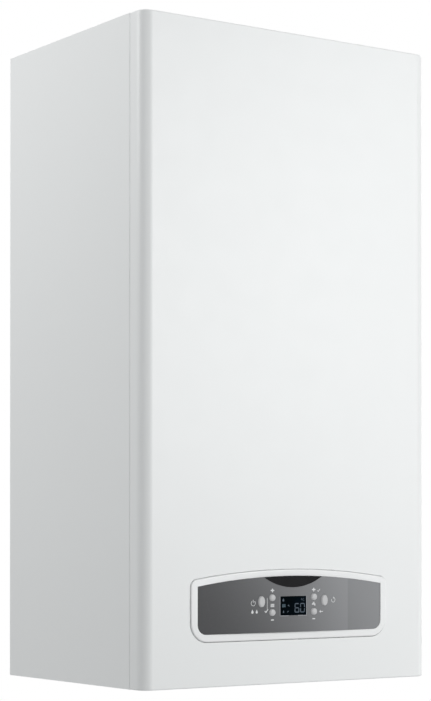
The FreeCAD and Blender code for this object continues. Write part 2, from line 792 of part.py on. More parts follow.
def panel_pivots():
    outer = f"({PANEL_HALF} + 4.2)"
    pins = [
        rod("pivot_pin", "x", (f"-{PIVOT_Y}", PIVOT_Z), span, "pivot_radius")
        for span in ((f"-{outer}", f"-{PANEL_HALF} + 8"), (f"{PANEL_HALF} - 8", outer))
    ]
    node("panel_pivots", group("pivot_pair", *pins))


def control_fascia():
    blank = fascia_prism("fascia_blank", "0", (RECESS, f"({FASCIA_CROWN} + 1)"))
    sheet_body = bowed("fascia_sheet", blank, "0")
    through = (f"({RECESS} - 1)", f"({FASCIA_CROWN} + 2)")
    badge = badge_prism("fascia_badge", "inlay_gap", through)
    opening = display_block("fascia_opening", "inlay_gap", through)
    node("control_fascia",
         cut("fascia_pierced", sheet_body, badge, opening, *button_holes("fascia", through)))


def badge_plate():
    blank = badge_prism("badge_blank", "0", (RECESS, f"({FASCIA_CROWN} + 1)"))
    node("badge_plate", bowed("badge_lens", blank, "0.3"))


def display_window():
    node("display_window",
         display_block("window_pane", "0", (f"({PANEL_FLOOR} + 0.3)", f"({FASCIA_CROWN} - 0.1)")))


def display_board():
    board = box("display_card", ("-60", "60"), (f"-{BOARD_FRONT}", f"-{BOARD_FRONT} + 1.6"), ("65", "101"))
    module = box("display_module", ("-display_width / 2 - 2", "display_width / 2 + 2"),
                 (f"-{PANEL_FLOOR} + 0.3", f"-{BOARD_FRONT}"),
                 ("display_level - display_height / 2 - 1.5", "display_level + display_height / 2 + 1.5"))
    switches = []
    for name, x, level in round_places() + oval_places():
        switches.append(rod("switch_base", "y", (x, level), (f"-{BOARD_FRONT} - 3", f"-{BOARD_FRONT}"), "3"))
        switches.append(rod("switch_tip", "y", (x, level),
                            (f"-{BUTTON_REAR} + button_travel + 0.1", f"-{BOARD_FRONT}"),
                            "1.6"))
    node("display_board", fuse("display_unit", board, module, *switches))


def control_tray():
    depths = (f"-{PANEL_REAR} + 0.2", f"-{PANEL_REAR} + tray_depth")
    block = box("tray_block", ("-tray_half", "tray_half"), depths, ("tray_low", "tray_high"))
    hollow = box("tray_hollow", ("-tray_half + tray_wall", "tray_half - tray_wall"),
                 (f"-{PANEL_REAR} - 1", f"-{PANEL_REAR} + tray_depth - tray_wall"),
                 ("tray_low + tray_wall", "tray_high - tray_wall"))
    vents = [
        box("tray_vent", (f"{step} * 9 - 2", f"{step} * 9 + 2"),
            (f"-{PANEL_REAR} + 10", f"-{PANEL_REAR} + 30"),
            ("tray_high - 2 * tray_wall", "tray_high + 1"))
        for step in range(-9, 10)
    ]
    node("control_tray", cut("tray_shell", block, hollow, *vents))


def main_board():
    rear = f"(-{PANEL_REAR} + tray_depth - tray_wall)"
    face = f"({rear} - 5.6)"
    board = box("main_card", ("-112", "112"), (face, f"{rear} - 4"), ("58", "101"))
    pieces = [board]
    for x, level in (("-105", "62"), ("-105", "97"), ("105", "62"), ("105", "97")):
        pieces.append(rod("main_post", "y", (x, level), (f"{rear} - 4", rear), "3"))
    blocks = (
        ("-96", "-58", "63", "96", 20), ("-46", "-32", "64", "84", 14), ("-28", "-14", "64", "84", 14),
        ("-10", "4", "64", "84", 14), ("20", "50", "66", "76", 9), ("62", "98", "62", "72", 12),
        ("62", "98", "78", "88", 12),
    )
    for left, right, low, high, rise in blocks:
        pieces.append(box("main_block", (left, right), (f"{face} - {rise}", face), (low, high)))
    for x in ("-44", "-30", "30", "44"):
        pieces.append(rod("main_capacitor", "y", (x, "93"), (f"{face} - 15", face), "5"))
    node("main_board", fuse("main_unit", *pieces))


def round_button(name, x, level):
    tip = f"({FASCIA_FRONT} + {bow_at(x)} + button_proud - {BUTTON_REAR})"
    profile = [
        ("0", "0"), ("2.5", "0"), ("2.5", "2.1"), ("round_radius + button_flange", "2.1"),
        ("round_radius + button_flange", "3.1"), ("round_radius", "3.1"), ("round_radius", f"{tip} - 1.4"),
        ("round_radius - 0.22", f"{tip} - 0.8"), ("round_radius - 0.75", f"{tip} - 0.34"),
        ("round_radius - 1.6", f"{tip} - 0.08"), ("0.3 * round_radius", tip), ("0", tip),
    ]
    node(name, lathe(name + "_turned", "front", (x, f"-{BUTTON_REAR}", level), profile))


def oval_button(name, x, level):
    tip = f"({FASCIA_FRONT} + {bow_at(x)} + button_proud)"
    cap = ellipse_bar(name + "_cap", x, level, "oval_half", "oval_rise", (f"({BUTTON_REAR} + 2.6)", tip))
    flange = ellipse_bar(name + "_flange", x, level, "oval_half + button_flange", "oval_rise + button_flange",
                         (f"({BUTTON_REAR} + 2.1)", f"({BUTTON_REAR} + 3.1)"))
    stem = rod(name + "_stem", "y", (x, level), (f"-{BUTTON_REAR} - 2.6", f"-{BUTTON_REAR}"), "2.5")
    front = value(f"-{tip}")
    soft = doc.addObject("Part::Fillet", name + "_soft")
    soft.Base = cap
    soft.Edges = [
        (number, 1.2, 1.2) for number, edge in enumerate(cap.Shape.Edges, start=1)
        if abs(edge.BoundBox.YMin - front) < 0.01 and edge.BoundBox.YLength < 0.01
    ]
    node(name, fuse(name + "_whole", soft, flange, stem))


# Connections and water side


def pipe_connectors():
    stubs = []
    for x, radius in stub_places():
        profile = [
            (f"0.76 * {radius}", "stub_low"), (radius, "stub_low"), (radius, "floor_level + plate"),
            (f"{radius} + 5", "floor_level + plate"), (f"{radius} + 5", "floor_level + plate + 7"),
            (radius, "floor_level + plate + 7"), (radius, "group_level"), (f"0.76 * {radius}", "group_level"),
        ]
        stubs.append(lathe("connector", "z", (x, "-stub_y", "0"), profile))
    node("pipe_connectors", group("connector_row", *stubs))


def flow_group():
    block = box("flow_block", ("-group_outer", "-group_inner"), ("-group_front", "-group_rear"),
                ("group_level", "group_top"))
    chamber = rod("flow_chamber", "z", ("-diverter_x", "-diverter_y"),
                  ("group_level + 15", "group_top - 10"), "15")
    guide = rod("flow_guide", "z", ("-diverter_x", "-diverter_y"), ("group_top - 11", "group_top + 1"),
                "stem_radius + running_gap")
    tap_bore = rod("flow_tap_bore", "z", ("-knob_x", "-stub_y"), ("group_level - 1", "group_level + 12"),
                   "shaft_radius")
    node("flow_group", cut("flow_bored", block, fuse("flow_passage", chamber, guide), tap_bore))


def diverter_motor():
    half = "23"
    case = box("diverter_case", (f"-diverter_x - {half}", f"-diverter_x + {half}"),
               (f"-diverter_y - {half}", f"-diverter_y + {half}"), ("group_top + 0.2", "group_top + 44"))
    cap = rod("diverter_cap", "z", ("-diverter_x", "-diverter_y"), ("group_top + 43", "group_top + 62"), "19")
    bore = rod("diverter_bore", "z", ("-diverter_x", "-diverter_y"), ("group_top", "group_top + 30"), "6")
    node("diverter_motor", cut("diverter_bored", fuse("diverter_body", case, cap), bore))


def diverter_spindle():
    centre = ("-diverter_x", "-diverter_y")
    stem = rod("spindle_stem", "z", centre, ("group_level + 20", "group_top + 15"), "stem_radius")
    low = rod("spindle_low", "z", centre, ("group_level + 24", "group_level + 32"), "11")
    high = rod("spindle_high", "z", centre, ("group_top - 34", "group_top - 26"), "11")
    node("diverter_spindle", fuse("spindle_whole", stem, low, high))


def return_group():
    block = box("return_block", ("group_inner", "group_outer"), ("-group_front", "-group_rear"),
                ("group_level", "group_top"))
    centre = ("pump_x", "pump_level")
    volute = rod("return_volute", "y", centre, ("-pump_face", "-pump_rear"), "pump_radius")
    neck = box("return_neck", ("pump_x - 22", "pump_x + 22"), ("-group_front + 4", "-pump_rear - 4"),
               ("group_top - 5", "pump_level - 30"))
    outlet = rod("return_outlet", "z", ("leg_x", "-pump_rear - 21"), ("pump_level", "pump_level + 55"), "11")
    body = fuse("return_body", block, volute, neck, outlet)
    room = rod("return_room", "y", centre, ("-pump_face - 1", "-pump_face + 30"), "pump_radius - 8")
    passage = rod("return_passage", "z", ("leg_x", "-pump_rear - 21"),
                  ("pump_level + 20", "pump_level + 56"), "7")
    node("return_group", cut("return_bored", body, room, passage))


def pump_motor():
    length = "(pump_nose - pump_face)"
    profile = [
        ("shaft_radius", "0.2"), ("pump_radius", "0.2"), ("pump_radius", "4.2"), ("pump_radius - 4", "4.2"),
        ("pump_radius - 4", f"{length} - 6"), ("pump_radius - 10", length), ("0", length),
        ("0", f"{length} - 14"), ("shaft_radius", f"{length} - 14"), ("shaft_radius", f"{length} - 22"),
        ("22", f"{length} - 22"), ("22", "10"), ("shaft_radius", "10"),
    ]
    drum = lathe("motor_drum", "front", ("pump_x", "-pump_face", "pump_level"), profile)
    terminal = box("motor_terminal", ("pump_x - 24", "pump_x + 24"), ("-pump_nose + 14", "-pump_face - 18"),
                   ("pump_level + pump_radius - 9", "pump_level + pump_radius + 14"))
    node("pump_motor", fuse("motor_whole", drum, terminal))


def pump_rotor():
    length = "(pump_nose - pump_face)"
    thin = "(shaft_radius - running_gap)"
    profile = [
        ("0", "-20"), ("pump_radius - 12", "-20"), ("pump_radius - 12", "-8"), (thin, "-8"), (thin, "14"),
        ("20", "14"), ("20", f"{length} - 26"), (thin, f"{length} - 26"), (thin, f"{length} - 15"),
        ("0", f"{length} - 15"),
    ]
    node("pump_rotor", lathe("rotor_turned", "front", ("pump_x", "-pump_face", "pump_level"), profile))


def plate_exchanger():
    front = "(-group_rear + 4)"
    low, high = "group_level + 3", "group_top - 7"
    pieces = [box("stack_core", ("-plate_half + 2", "plate_half - 2"), (front, f"{front} + plate_stack"),
                  (f"{low} + 2", f"{high} - 2"))]
    for step in range(11):
        start = f"({front} + {step} * plate_stack / 11)"
        pieces.append(box("stack_plate", ("-plate_half", "plate_half"),
                          (start, f"{start} + plate_stack / 18"),
                          (low, high)))
    for side in LEFT_RIGHT:
        for level in ("group_level + 17", "group_top - 21"):
            pieces.append(rod("stack_port", "y", (f"{side} * (plate_half - 15)", level),
                              ("-group_rear + 0.2", f"{front} + 1"), "10"))
    node("plate_exchanger", fuse("stack_brazed", *pieces))


def gas_valve():
    body = box("valve_block", ("-34", "34"), ("-group_front", "-group_rear"),
               ("group_level + 52", "group_level + 125"))
    inlet = rod("valve_inlet", "z", ("0", "-stub_y"), ("group_level + 0.2", "group_level + 53"), "large_stub")
    nut = rod("valve_nut", "z", ("0", "-stub_y"), ("group_level + 0.2", "group_level + 14"), "large_stub + 5")
    outlet = rod("valve_outlet", "z", ("0", "-stub_y - 15"), ("group_level + 124", "group_level + 143"), "12")
    coils = [
        rod("valve_coil", "y", (x, "group_level + 92"), ("-group_front - 38", "-group_front + 1"), "14")
        for x in ("-16", "16")
    ]
    regulator = rod("valve_regulator", "y", ("0", "group_level + 65"),
                    ("-group_front - 16", "-group_front + 1"), "9")
    node("gas_valve", fuse("valve_whole", body, inlet, nut, outlet, regulator, *coils))


def gas_pipe():
    start = "(group_level + 143.2)"
    climb = f"(chamber_floor - {start})"
    path = [
        ("0", "-stub_y - 15", start), ("0", "-stub_y - 15", f"{start} + 0.26 * {climb}"),
        ("0", "-gas_y", f"{start} + 0.62 * {climb}"), ("0", "-gas_y", "burner_top - 40.2"),
    ]
    node("gas_pipe", pipe("gas_pipe_bent", path, "9", "1", "24"))


def flow_pipe():
    tube_y = "(-stack_rear - 11)"
    long = tube("flow_tube", "z", ("-leg_x", tube_y), ("group_top + 0.2", "chamber_floor - 7.2"),
                "tube_radius",
                "tube_radius - 1")
    nuts = [
        tube("flow_nut", "z", ("-leg_x", tube_y), span, "tube_radius + 5", "tube_radius - 0.5")
        for span in (("group_top + 0.2", "group_top + 14"), ("chamber_floor - 24", "chamber_floor - 7.2"))
    ]
    node("flow_pipe", fuse("flow_whole", long, *nuts))


def return_pipe():
    tube_y = tube_places()[-1]
    level = "((pump_level + chamber_floor) / 2 + 24)"
    path = [
        ("leg_x", "-pump_rear - 21", "pump_level + 55.2"), ("leg_x", "-pump_rear - 21", level),
        ("leg_x", tube_y, level), ("leg_x", tube_y, "chamber_floor - 7.2"),
    ]
    node("return_pipe", pipe("return_bent", path, "tube_radius", "1", "16"))


def safety_valve():
    centre = ("relief_x", "relief_level")
    front = "(group_front + 30)"
    body = rod("relief_body", "y", centre, (f"-{front}", "-group_front - 0.2"), "13")
    nut = rod("relief_nut", "y", centre, ("-group_front - 9", "-group_front - 0.2"), "17")
    drain = rod("relief_drain", "z", ("relief_x", "-group_front - 18"),
                ("relief_level - 30", "relief_level"), "8")
    bore = rod("relief_bore", "y", centre, (f"-{front} - 1", f"-{front} + 12"), "shaft_radius")
    waste = rod("relief_waste", "z", ("relief_x", "-group_front - 18"),
                ("relief_level - 31", "relief_level - 14"), "5.5")
    node("safety_valve", cut("relief_bored", fuse("relief_whole", body, nut, drain), bore, waste))


def ribbed_knob(label, axis, position, stem, cap):
    """Knob with a stem at its near end and a ribbed cap."""
    stem_radius, stem_length = stem
    cap_radius, cap_length = cap
    profile = [
        ("0", "0"), (stem_radius, "0"), (stem_radius, stem_length), (cap_radius, stem_length),
        (cap_radius, f"{stem_length} + {cap_length} - 2"),
        (f"{cap_radius} - 2", f"{stem_length} + {cap_length}"),
        ("0", f"{stem_length} + {cap_length}"),
    ]
    return lathe(label, axis, position, profile)


def relief_knob():
    start = "(-group_front - 20)"
    turned = ribbed_knob("relief_turned", "front", ("relief_x", start, "relief_level"),
                         ("(shaft_radius - running_gap)", "10.4"), ("16", "16"))
    grooves = []
    for step in range(12):
        angle = step * 2 * math.pi / 12
        x = f"relief_x + {16.6 * math.cos(angle):.4f}"
        level = f"relief_level + {16.6 * math.sin(angle):.4f}"
        grooves.append(rod("relief_groove", "y", (x, level), (f"{start} - 28", f"{start} - 12"), "1.8"))
    node("relief_knob", cut("relief_ribbed", turned, *grooves))


def filling_knob():
    reach = "(group_level + 10)"
    low = "(floor_level - 28)"
    stem = rod("filling_stem", "z", ("-knob_x", "-stub_y"), (low, reach), "shaft_radius - running_gap")
    cap = rod("filling_cap", "z", ("-knob_x", "-stub_y"), (low, "floor_level - 5"), "knob_radius")
    grooves = []
    for step in range(10):
        angle = step * 2 * math.pi / 10
        x = f"-knob_x + (knob_radius + 0.6) * {math.cos(angle):.4f}"
        y = f"-stub_y + (knob_radius + 0.6) * {math.sin(angle):.4f}"
        grooves.append(rod("filling_groove", "z", (x, y), (f"{low} - 1", "floor_level - 8"), "1.8"))
    node("filling_knob", cut("filling_ribbed", fuse("filling_whole", stem, cap), *grooves))


def pressure_gauge():
    dial = "(floor_level - 18)"
    profile = [
        ("1", dial), ("gauge_radius - 1.5", dial), ("gauge_radius - 1.5", f"{dial} - 6"),
        ("gauge_radius", f"{dial} - 6"), ("gauge_radius", "floor_level + plate + 0.2"),
        ("gauge_radius + 5", "floor_level + plate + 0.2"), ("gauge_radius + 5", "floor_level + plate + 3"),
        ("gauge_radius", "floor_level + plate + 3"), ("gauge_radius", "floor_level + 16"),
        ("5", "floor_level + 16"), ("5", "floor_level + 24"), ("0", "floor_level + 24"),
        ("0", f"{dial} + 8"), ("1", f"{dial} + 8"),
    ]
    node("pressure_gauge", lathe("gauge_turned", "z", ("knob_x", "-gauge_y", "0"), profile))


def gauge_needle():
    dial = "(floor_level - 18)"
    hub = rod("needle_hub", "z", ("knob_x", "-gauge_y"), (f"{dial} - 3", f"{dial} - 1"), "2.5")
    stem = rod("needle_stem", "z", ("knob_x", "-gauge_y"), (f"{dial} - 2", f"{dial} + 6"), "1 - running_gap")
    hand = box("needle_hand", ("knob_x - 0.8", "knob_x + 0.8"), ("-gauge_y - 15", "-gauge_y + 5"),
               (f"{dial} - 2.4", f"{dial} - 1.4"))
    node("gauge_needle", fuse("needle_whole", hub, stem, hand))


def power_gland():
    profile = [
        ("3.6", "floor_level - 7"), ("9", "floor_level - 7"), ("9", "floor_level - 0.2"),
        ("7", "floor_level - 0.2"),
        ("7", "floor_level + plate + 0.2"), ("10", "floor_level + plate + 0.2"),
        ("10", "floor_level + plate + 5"),
        ("7", "floor_level + plate + 5"), ("7", "floor_level + plate + 9"),
        ("3.6", "floor_level + plate + 9"),
    ]
    node("power_gland", lathe("gland_turned", "z", ("-gland_x", "-gland_y", "0"), profile))


def vessel_profile(inset):
    """Half section of the flat expansion vessel, pulled in by the wall thickness."""
    reach = f"(vessel_radius - {inset})"
    thick = "vessel_thick"
    return [
        ("0", inset), (f"{reach} - 40", inset), (f"{reach} - 10", f"0.12 * {thick} + 0.6 * {inset}"),
        (reach, f"0.32 * {thick}"), (reach, f"0.68 * {thick}"),
        (f"{reach} - 10", f"0.88 * {thick} - 0.6 * {inset}"), (f"{reach} - 40", f"{thick} - {inset}"),
        ("0", f"{thick} - {inset}"),
    ]


def expansion_vessel():
    rear = "(-plate - 0.3)"
    place_of = ("0", rear, "vessel_level")
    shell = lathe("vessel_shell", "front", place_of, vessel_profile("0"))
    room = lathe("vessel_room", "front", place_of, vessel_profile("vessel_wall"))
    seam = rod("vessel_seam", "y", ("0", "vessel_level"),
               (f"{rear} - vessel_thick / 2 - 3", f"{rear} - vessel_thick / 2"),
               "vessel_radius + 4")
    low = "(vessel_level - vessel_radius)"
    nipple = rod("vessel_nipple", "z", ("0", f"{rear} - vessel_thick / 2"), (f"{low} - 15", f"{low} + 5"),
                 "8")
    bore = rod("vessel_bore", "z", ("0", f"{rear} - vessel_thick / 2"), (f"{low} - 16", f"{low} + 12"), "5")
    whole = fuse("vessel_whole", shell, seam, nipple)
    node("expansion_vessel", cut("vessel_hollow", whole, fuse("vessel_inside", room, bore)))


def expansion_pipe():
    y = "(-plate - 0.3 - vessel_thick / 2)"
    low = "(vessel_level - vessel_radius - 15.2)"
    fall = f"({low} - group_top - 0.2)"
    path = [
        ("0", y, low), ("0", y, f"{low} - 0.41 * {fall}"),
        ("group_inner + 15", "-group_rear - 14", f"{low} - 0.69 * {fall}"),
        ("group_inner + 15", "-group_rear - 14", "group_top + 0.2"),
    ]
    node("expansion_pipe", pipe("expansion_bent", path, "6", "1", "18"))


# Sealed chamber


def cover_screw_places():
    x = "(chamber_half - chamber_rim / 2)"
    low = "(chamber_floor + chamber_rim / 2)"
    high = f"({COVER_TOP} - chamber_rim / 2)"
    return [(f"{side} * {x}", level) for side in LEFT_RIGHT for level in (low, f"(({low}) + ({high})) / 2",
                                                                          high)]


def chamber_frame(label, depths, inset):
    """Rectangular frame round the chamber's front opening, with holes for the cover screws."""
    wide = f"(chamber_half - {inset})"
    tall = (f"chamber_floor + {inset}", f"{COVER_TOP} - {inset}")
    return box(label, (f"-{wide}", wide), depths, tall)


def chamber_screw_holes(label, depths):
    return [rod(label, "y", (x, level), depths, "screw_radius + running_gap") for x,
            level in cover_screw_places()]


def chamber_box():
    block = box("chamber_block", ("-chamber_half", "chamber_half"), ("-chamber_front", "-chamber_rear"),
                ("chamber_floor", CHAMBER_TOP))
    hollow = box("chamber_hollow", ("-chamber_half + sheet", "chamber_half - sheet"),
                 ("-chamber_front + sheet", "-chamber_rear - sheet"),
                 ("chamber_floor + sheet", f"{CHAMBER_TOP} - sheet"))
    mouth = chamber_frame("chamber_mouth", ("-chamber_front - 1", "-chamber_front + 2"), "chamber_rim")
    floor_span = ("chamber_floor - 1", "chamber_floor + 2")
    top_span = (f"{CHAMBER_TOP} - 2", f"{CHAMBER_TOP} + 1")
    holes = [
        rod("chamber_gas_hole", "z", ("0", "-gas_y"), floor_span, "9.5"),
        rod("chamber_flow_hole", "z", ("-leg_x", "-stack_rear - 11"), floor_span, "tube_radius + 0.5"),
        rod("chamber_return_hole", "z", ("leg_x", tube_places()[-1]), floor_span, "tube_radius + 0.5"),
        rod("chamber_flue_hole", "z", ("0", "-flue_y"), top_span, "fan_thick / 2 + 1.5"),
    ]
    for step in range(12):
        angle = (step + 0.5) * 2 * math.pi / 12
        ring = "(flue_radius + air_radius + 2.7) / 2"
        x = f"{ring} * {math.cos(angle):.4f}"
        y = f"-flue_y + {ring} * {math.sin(angle):.4f}"
        holes.append(rod("chamber_air_hole", "z", (x, y), top_span, "4.5"))
    holes += chamber_screw_holes("chamber_screw_hole", ("-chamber_front - 1", "-chamber_front + 2"))
    node("chamber_box", cut("chamber_pierced", block, fuse("chamber_inside", hollow, mouth), *holes))


def chamber_seal():
    depths = (f"-{COVER_REAR}", "-chamber_front")
    outer = chamber_frame("seal_outer", depths, "1")
    inner = chamber_frame("seal_inner", (f"-{COVER_REAR} - 1", "-chamber_front + 1"), "chamber_rim - 1")
    node("chamber_seal", cut("seal_ring", outer, inner,
                             *chamber_screw_holes("seal_hole", (f"-{COVER_REAR} - 1", "-chamber_front + 1"))))


def chamber_cover():
    front = f"({COVER_REAR} + sheet)"
    flat = chamber_frame("cover_flat", (f"-{front}", f"-{COVER_REAR}"), "0")
    raised = chamber_frame("cover_raised", (f"-{front} - 2", f"-{COVER_REAR}"), "40")
    dished = chamber_frame("cover_dished", (f"-{front} - 1", f"-{COVER_REAR} + 1"), "41")
    span = (f"-{front} - 3", f"-{COVER_REAR} + 1")
    peep = rod("cover_peep", "y", ("0", "burner_top + 34"), span, "15 + inlay_gap")
    node("chamber_cover", cut("cover_pierced", fuse("cover_pressed", flat, raised), dished, peep,
                              *chamber_screw_holes("cover_hole", span)))


def sight_glass():
    front = f"({COVER_REAR} + sheet)"
    pane = rod("peep_pane", "y", ("0", "burner_top + 34"), (f"-{front} - 2.5", f"-{COVER_REAR} - 0.5"), "15")
    node("sight_glass", pane)


def sheet_screws():
    front = f"({COVER_REAR} + sheet)"
    screws = casing_screws()
    for x, level in cover_screw_places():
        head = rod("cover_screw_head", "y", (x, level), (f"-{front} - 2.4", f"-{front}"), "2 * screw_radius")
        shank = rod("cover_screw_shank", "y", (x, level), (f"-{front} - 1", "-chamber_front + 6"),
                    "screw_radius")
        screws.append(fuse("cover_screw", head, shank))
    for number in range(4):
        head = rod("collar_screw_head", "z", collar_screw(number),
                   ("height + collar_wall", "height + collar_wall + 2.4"), "1.7 * screw_radius")
        shank = rod("collar_screw_shank", "z", collar_screw(number),
                    ("height - plate - 0.4", "height + collar_wall + 1"), "screw_radius")
        screws.append(fuse("collar_screw", head, shank))
    node("sheet_screws", group("screw_set", *screws))


def burner_frame():
    base = "chamber_floor + sheet + 0.2"
    depths = ("-stack_front + 2", "-stack_rear")
    pieces = [
        box("burner_left", ("-stack_half + 1", "-stack_half + 3"), depths, (base, "burner_top")),
        box("burner_right", ("stack_half - 3", "stack_half - 1"), depths, (base, "burner_top")),
    ]
    for start, end in (("-stack_front + 2", "-stack_front + 12"), ("-stack_rear - 10", "-stack_rear")):
        pieces.append(box("burner_bar", ("-stack_half + 1", "stack_half - 1"), (start, end),
                          (base, "burner_top - 44")))
    node("burner_frame", fuse("burner_rails", *pieces))


def burner_places():
    count = int(round(value("burner_count")))
    pitch = "((2 * stack_half - 24) / burner_count)"
    return [f"-stack_half + 12 + {step + 0.5} * {pitch}" for step in range(count)]


def burner_blades():
    blades = []
    depths = ("-stack_front + 6", "-stack_rear - 2")
    for x in burner_places():
        blade = box("blade_block", (f"{x} - 3.5", f"{x} + 3.5"), depths,
                    ("burner_top - 43.8", "burner_top - 1"))
        inlet = rod("blade_inlet", "y", (x, "burner_top - 34"), ("-stack_front + 5", "-stack_front + 60"),
                    "2.6")
        slots = [
            box("blade_slot", (f"{x} - 2.4", f"{x} + 2.4"),
                (f"-stack_front + {12 + 8.5 * step}", f"-stack_front + {17 + 8.5 * step}"),
                ("burner_top - 6", "burner_top"))
            for step in range(11)
        ]
        blades.append(cut("blade", blade, inlet, *slots))
    node("burner_blades", group("blade_row", *blades))


def injector_manifold():
    bar = box("manifold_bar", ("-stack_half + 8", "stack_half - 8"), ("-stack_front - 12", "-stack_front"),
              ("burner_top - 40", "burner_top - 28"))
    pieces = [bar]
    for x in burner_places():
        pieces.append(rod("manifold_jet", "y", (x, "burner_top - 34"),
                          ("-stack_front - 1", "-stack_front + 4.5"), "2.2"))
    for side in LEFT_RIGHT:
        ends = sorted((f"{side} * (stack_half - 16)", f"{side} * (stack_half - 8)"), key=value)
        pieces.append(box("manifold_leg", ends, ("-stack_front - 2", "-stack_front + 1.7"),
                          ("chamber_floor + sheet + 0.2", "burner_top - 39")))
    node("injector_manifold", fuse("manifold_whole", *pieces))


def electrode_places():
    return [(f"{share} * stack_half", "burner_top + 14") for share in (-0.66, -0.53, 0.66)]


def electrodes():
    rods = []
    for x, level in electrode_places():
        ceramic = rod("electrode_ceramic", "y", (x, level), ("-stack_front - 12", "-stack_front + 14"), "4")
        tip = rod("electrode_tip", "y", (x, level), ("-stack_front + 13", "-stack_front + 52"), "1.2")
        rods.append(fuse("electrode", ceramic, tip))
    node("electrodes", group("electrode_set", *rods))


def electrode_holes(label, span):
    return [rod(label, "y", (x, level), span, "4.1") for x, level in electrode_places()]


def combustion_walls():
    block = box("walls_block", ("-stack_half", "stack_half"), ("-stack_front", "-stack_rear"),
                ("burner_top + fit_gap", "walls_top"))
    hollow = box("walls_hollow", ("-stack_half + sheet", "stack_half - sheet"),
                 ("-stack_front + sheet", "-stack_rear - sheet"), ("burner_top", "walls_top + 1"))
    shell = cut("walls_shell", block, hollow)
    bores = electrode_holes("walls_bore", ("-stack_front - 1", "-stack_front + 2 * sheet"))
    node("combustion_walls", cut("walls_pierced", shell, *bores))


def insulation_boards():
    gap = "(sheet + 0.3)"
    tall = ("burner_top + 3", "walls_top - 1")
    front = box("board_front", (f"-stack_half + {gap}", f"stack_half - {gap}"),
                (f"-stack_front + {gap}", f"-stack_front + {gap} + board_thick"), tall)
    rear = box("board_rear", (f"-stack_half + {gap}", f"stack_half - {gap}"),
               (f"-stack_rear - {gap} - board_thick", f"-stack_rear - {gap}"), tall)
    depths = (f"-stack_front + 2 * {gap} + board_thick", f"-stack_rear - 2 * {gap} - board_thick")
    left = box("board_left", (f"-stack_half + {gap}", f"-stack_half + {gap} + board_thick"), depths, tall)
    right = box("board_right", (f"stack_half - {gap} - board_thick", f"stack_half - {gap}"), depths, tall)
    pierced = cut("board_pierced", front,
                  *electrode_holes("board_hole", ("-stack_front", "-stack_front + 20")))
    node("insulation_boards", group("board_set", pierced, rear, left, right))


def tube_places():
    """Depths of the tube's passes through the fins: an odd number, as many as the stack holds."""
    turns = int((value("stack_front - stack_rear - 22") + 0.01) / value("2 * tube_pitch"))
    return [f"(-stack_rear - 11 - {step} * tube_pitch)" for step in range(2 * turns + 1)]


def exchanger_block():
    block = box("fins_block", ("-stack_half", "stack_half"), ("-stack_front", "-stack_rear"),
                (FINS_LOW, FINS_TOP))
    count = int(round(value("fin_count")))
    pitch = "((2 * stack_half - 8) / fin_count)"
    slots = []
    for step in range(count):
        left = f"(-stack_half + 4 + {step} * {pitch} + 0.9)"
        slots.append(box("fins_slot", (left, f"{left} + {pitch} - 1.8"),
                         ("-stack_front + 2", "-stack_rear - 2"),
                         (f"{FINS_LOW} - 1", f"{FINS_TOP} + 1")))
    finned = cut("fins_cut", block, *slots)
    bores = [
        rod("fins_bore", "x", (y, TUBE_LEVEL), ("-stack_half - 1", "stack_half + 1"),
            "tube_radius + running_gap")
        for y in tube_places()
    ]
    node("exchanger_block", cut("fins_bored", finned, *bores))


def exchanger_tubes():
    """One tube that runs to and fro through the fins, with a leg down at each end."""
    rows = [value(y) for y in tube_places()]
    level = value(up(TUBE_LEVEL))
    low = value(up("chamber_floor - 7"))
    leg = value("leg_x")
    turn = value("stack_half + 6 + tube_pitch / 2")
    route = [(-leg, rows[0], low), (-leg, rows[0], level)]
    for step, (here, following) in enumerate(zip(rows, rows[1:])):
        side = turn if step % 2 == 0 else -turn
        route += [(side, here, level), (side, following, level)]
    route += [(leg, rows[-1], level), (leg, rows[-1], low)]
    solid = doc.addObject("Part::Feature", "tubes_bent")
    bend = value("tube_pitch / 2")
    outer = bent_bar(route, value("tube_radius"), bend)
    solid.Shape = outer.cut(bent_bar(route, value("tube_radius - 1"), bend))
    node("exchanger_tubes", solid)


def hood_block(label, inset, extra):
    """Solid form of the flue hood, or of its inside when pulled in."""
    base = (f"-stack_half + 1 + {inset}", f"stack_half - 1 - {inset}", f"-stack_front + 1 + {inset}",
            f"-stack_rear - 1 - {inset}")
    duct = (f"fan_x - 42 + {inset}", f"fan_x + 42 - {inset}", f"-fan_rear + 0.6 + {inset}",
            f"-{HOOD_REAR} - {inset}")
    low = f"{FINS_TOP} + 0.3"
    shoulder = f"{FINS_TOP} + 26"
    skirt = box(label + "_skirt", base[:2], base[2:], (f"{low} - {extra}", f"{low} + 4"))
    slope = frustum(label + "_slope", base, duct, (f"{low} + 4", shoulder))
    neck = box(label + "_neck", duct[:2], duct[2:], (shoulder, f"fan_level + 44 - {inset}"))
    return fuse(label, skirt, slope, neck)


def fume_hood():
    shell = cut("hood_shell", hood_block("hood_solid", "0", "0"), hood_block("hood_inside", "sheet", "1"))
    inlet = rod("hood_inlet", "y", ("fan_x", "fan_level"), ("-fan_rear - 1", "-fan_rear + 3"), "34")
    node("fume_hood", cut("hood_pierced", shell, inlet))


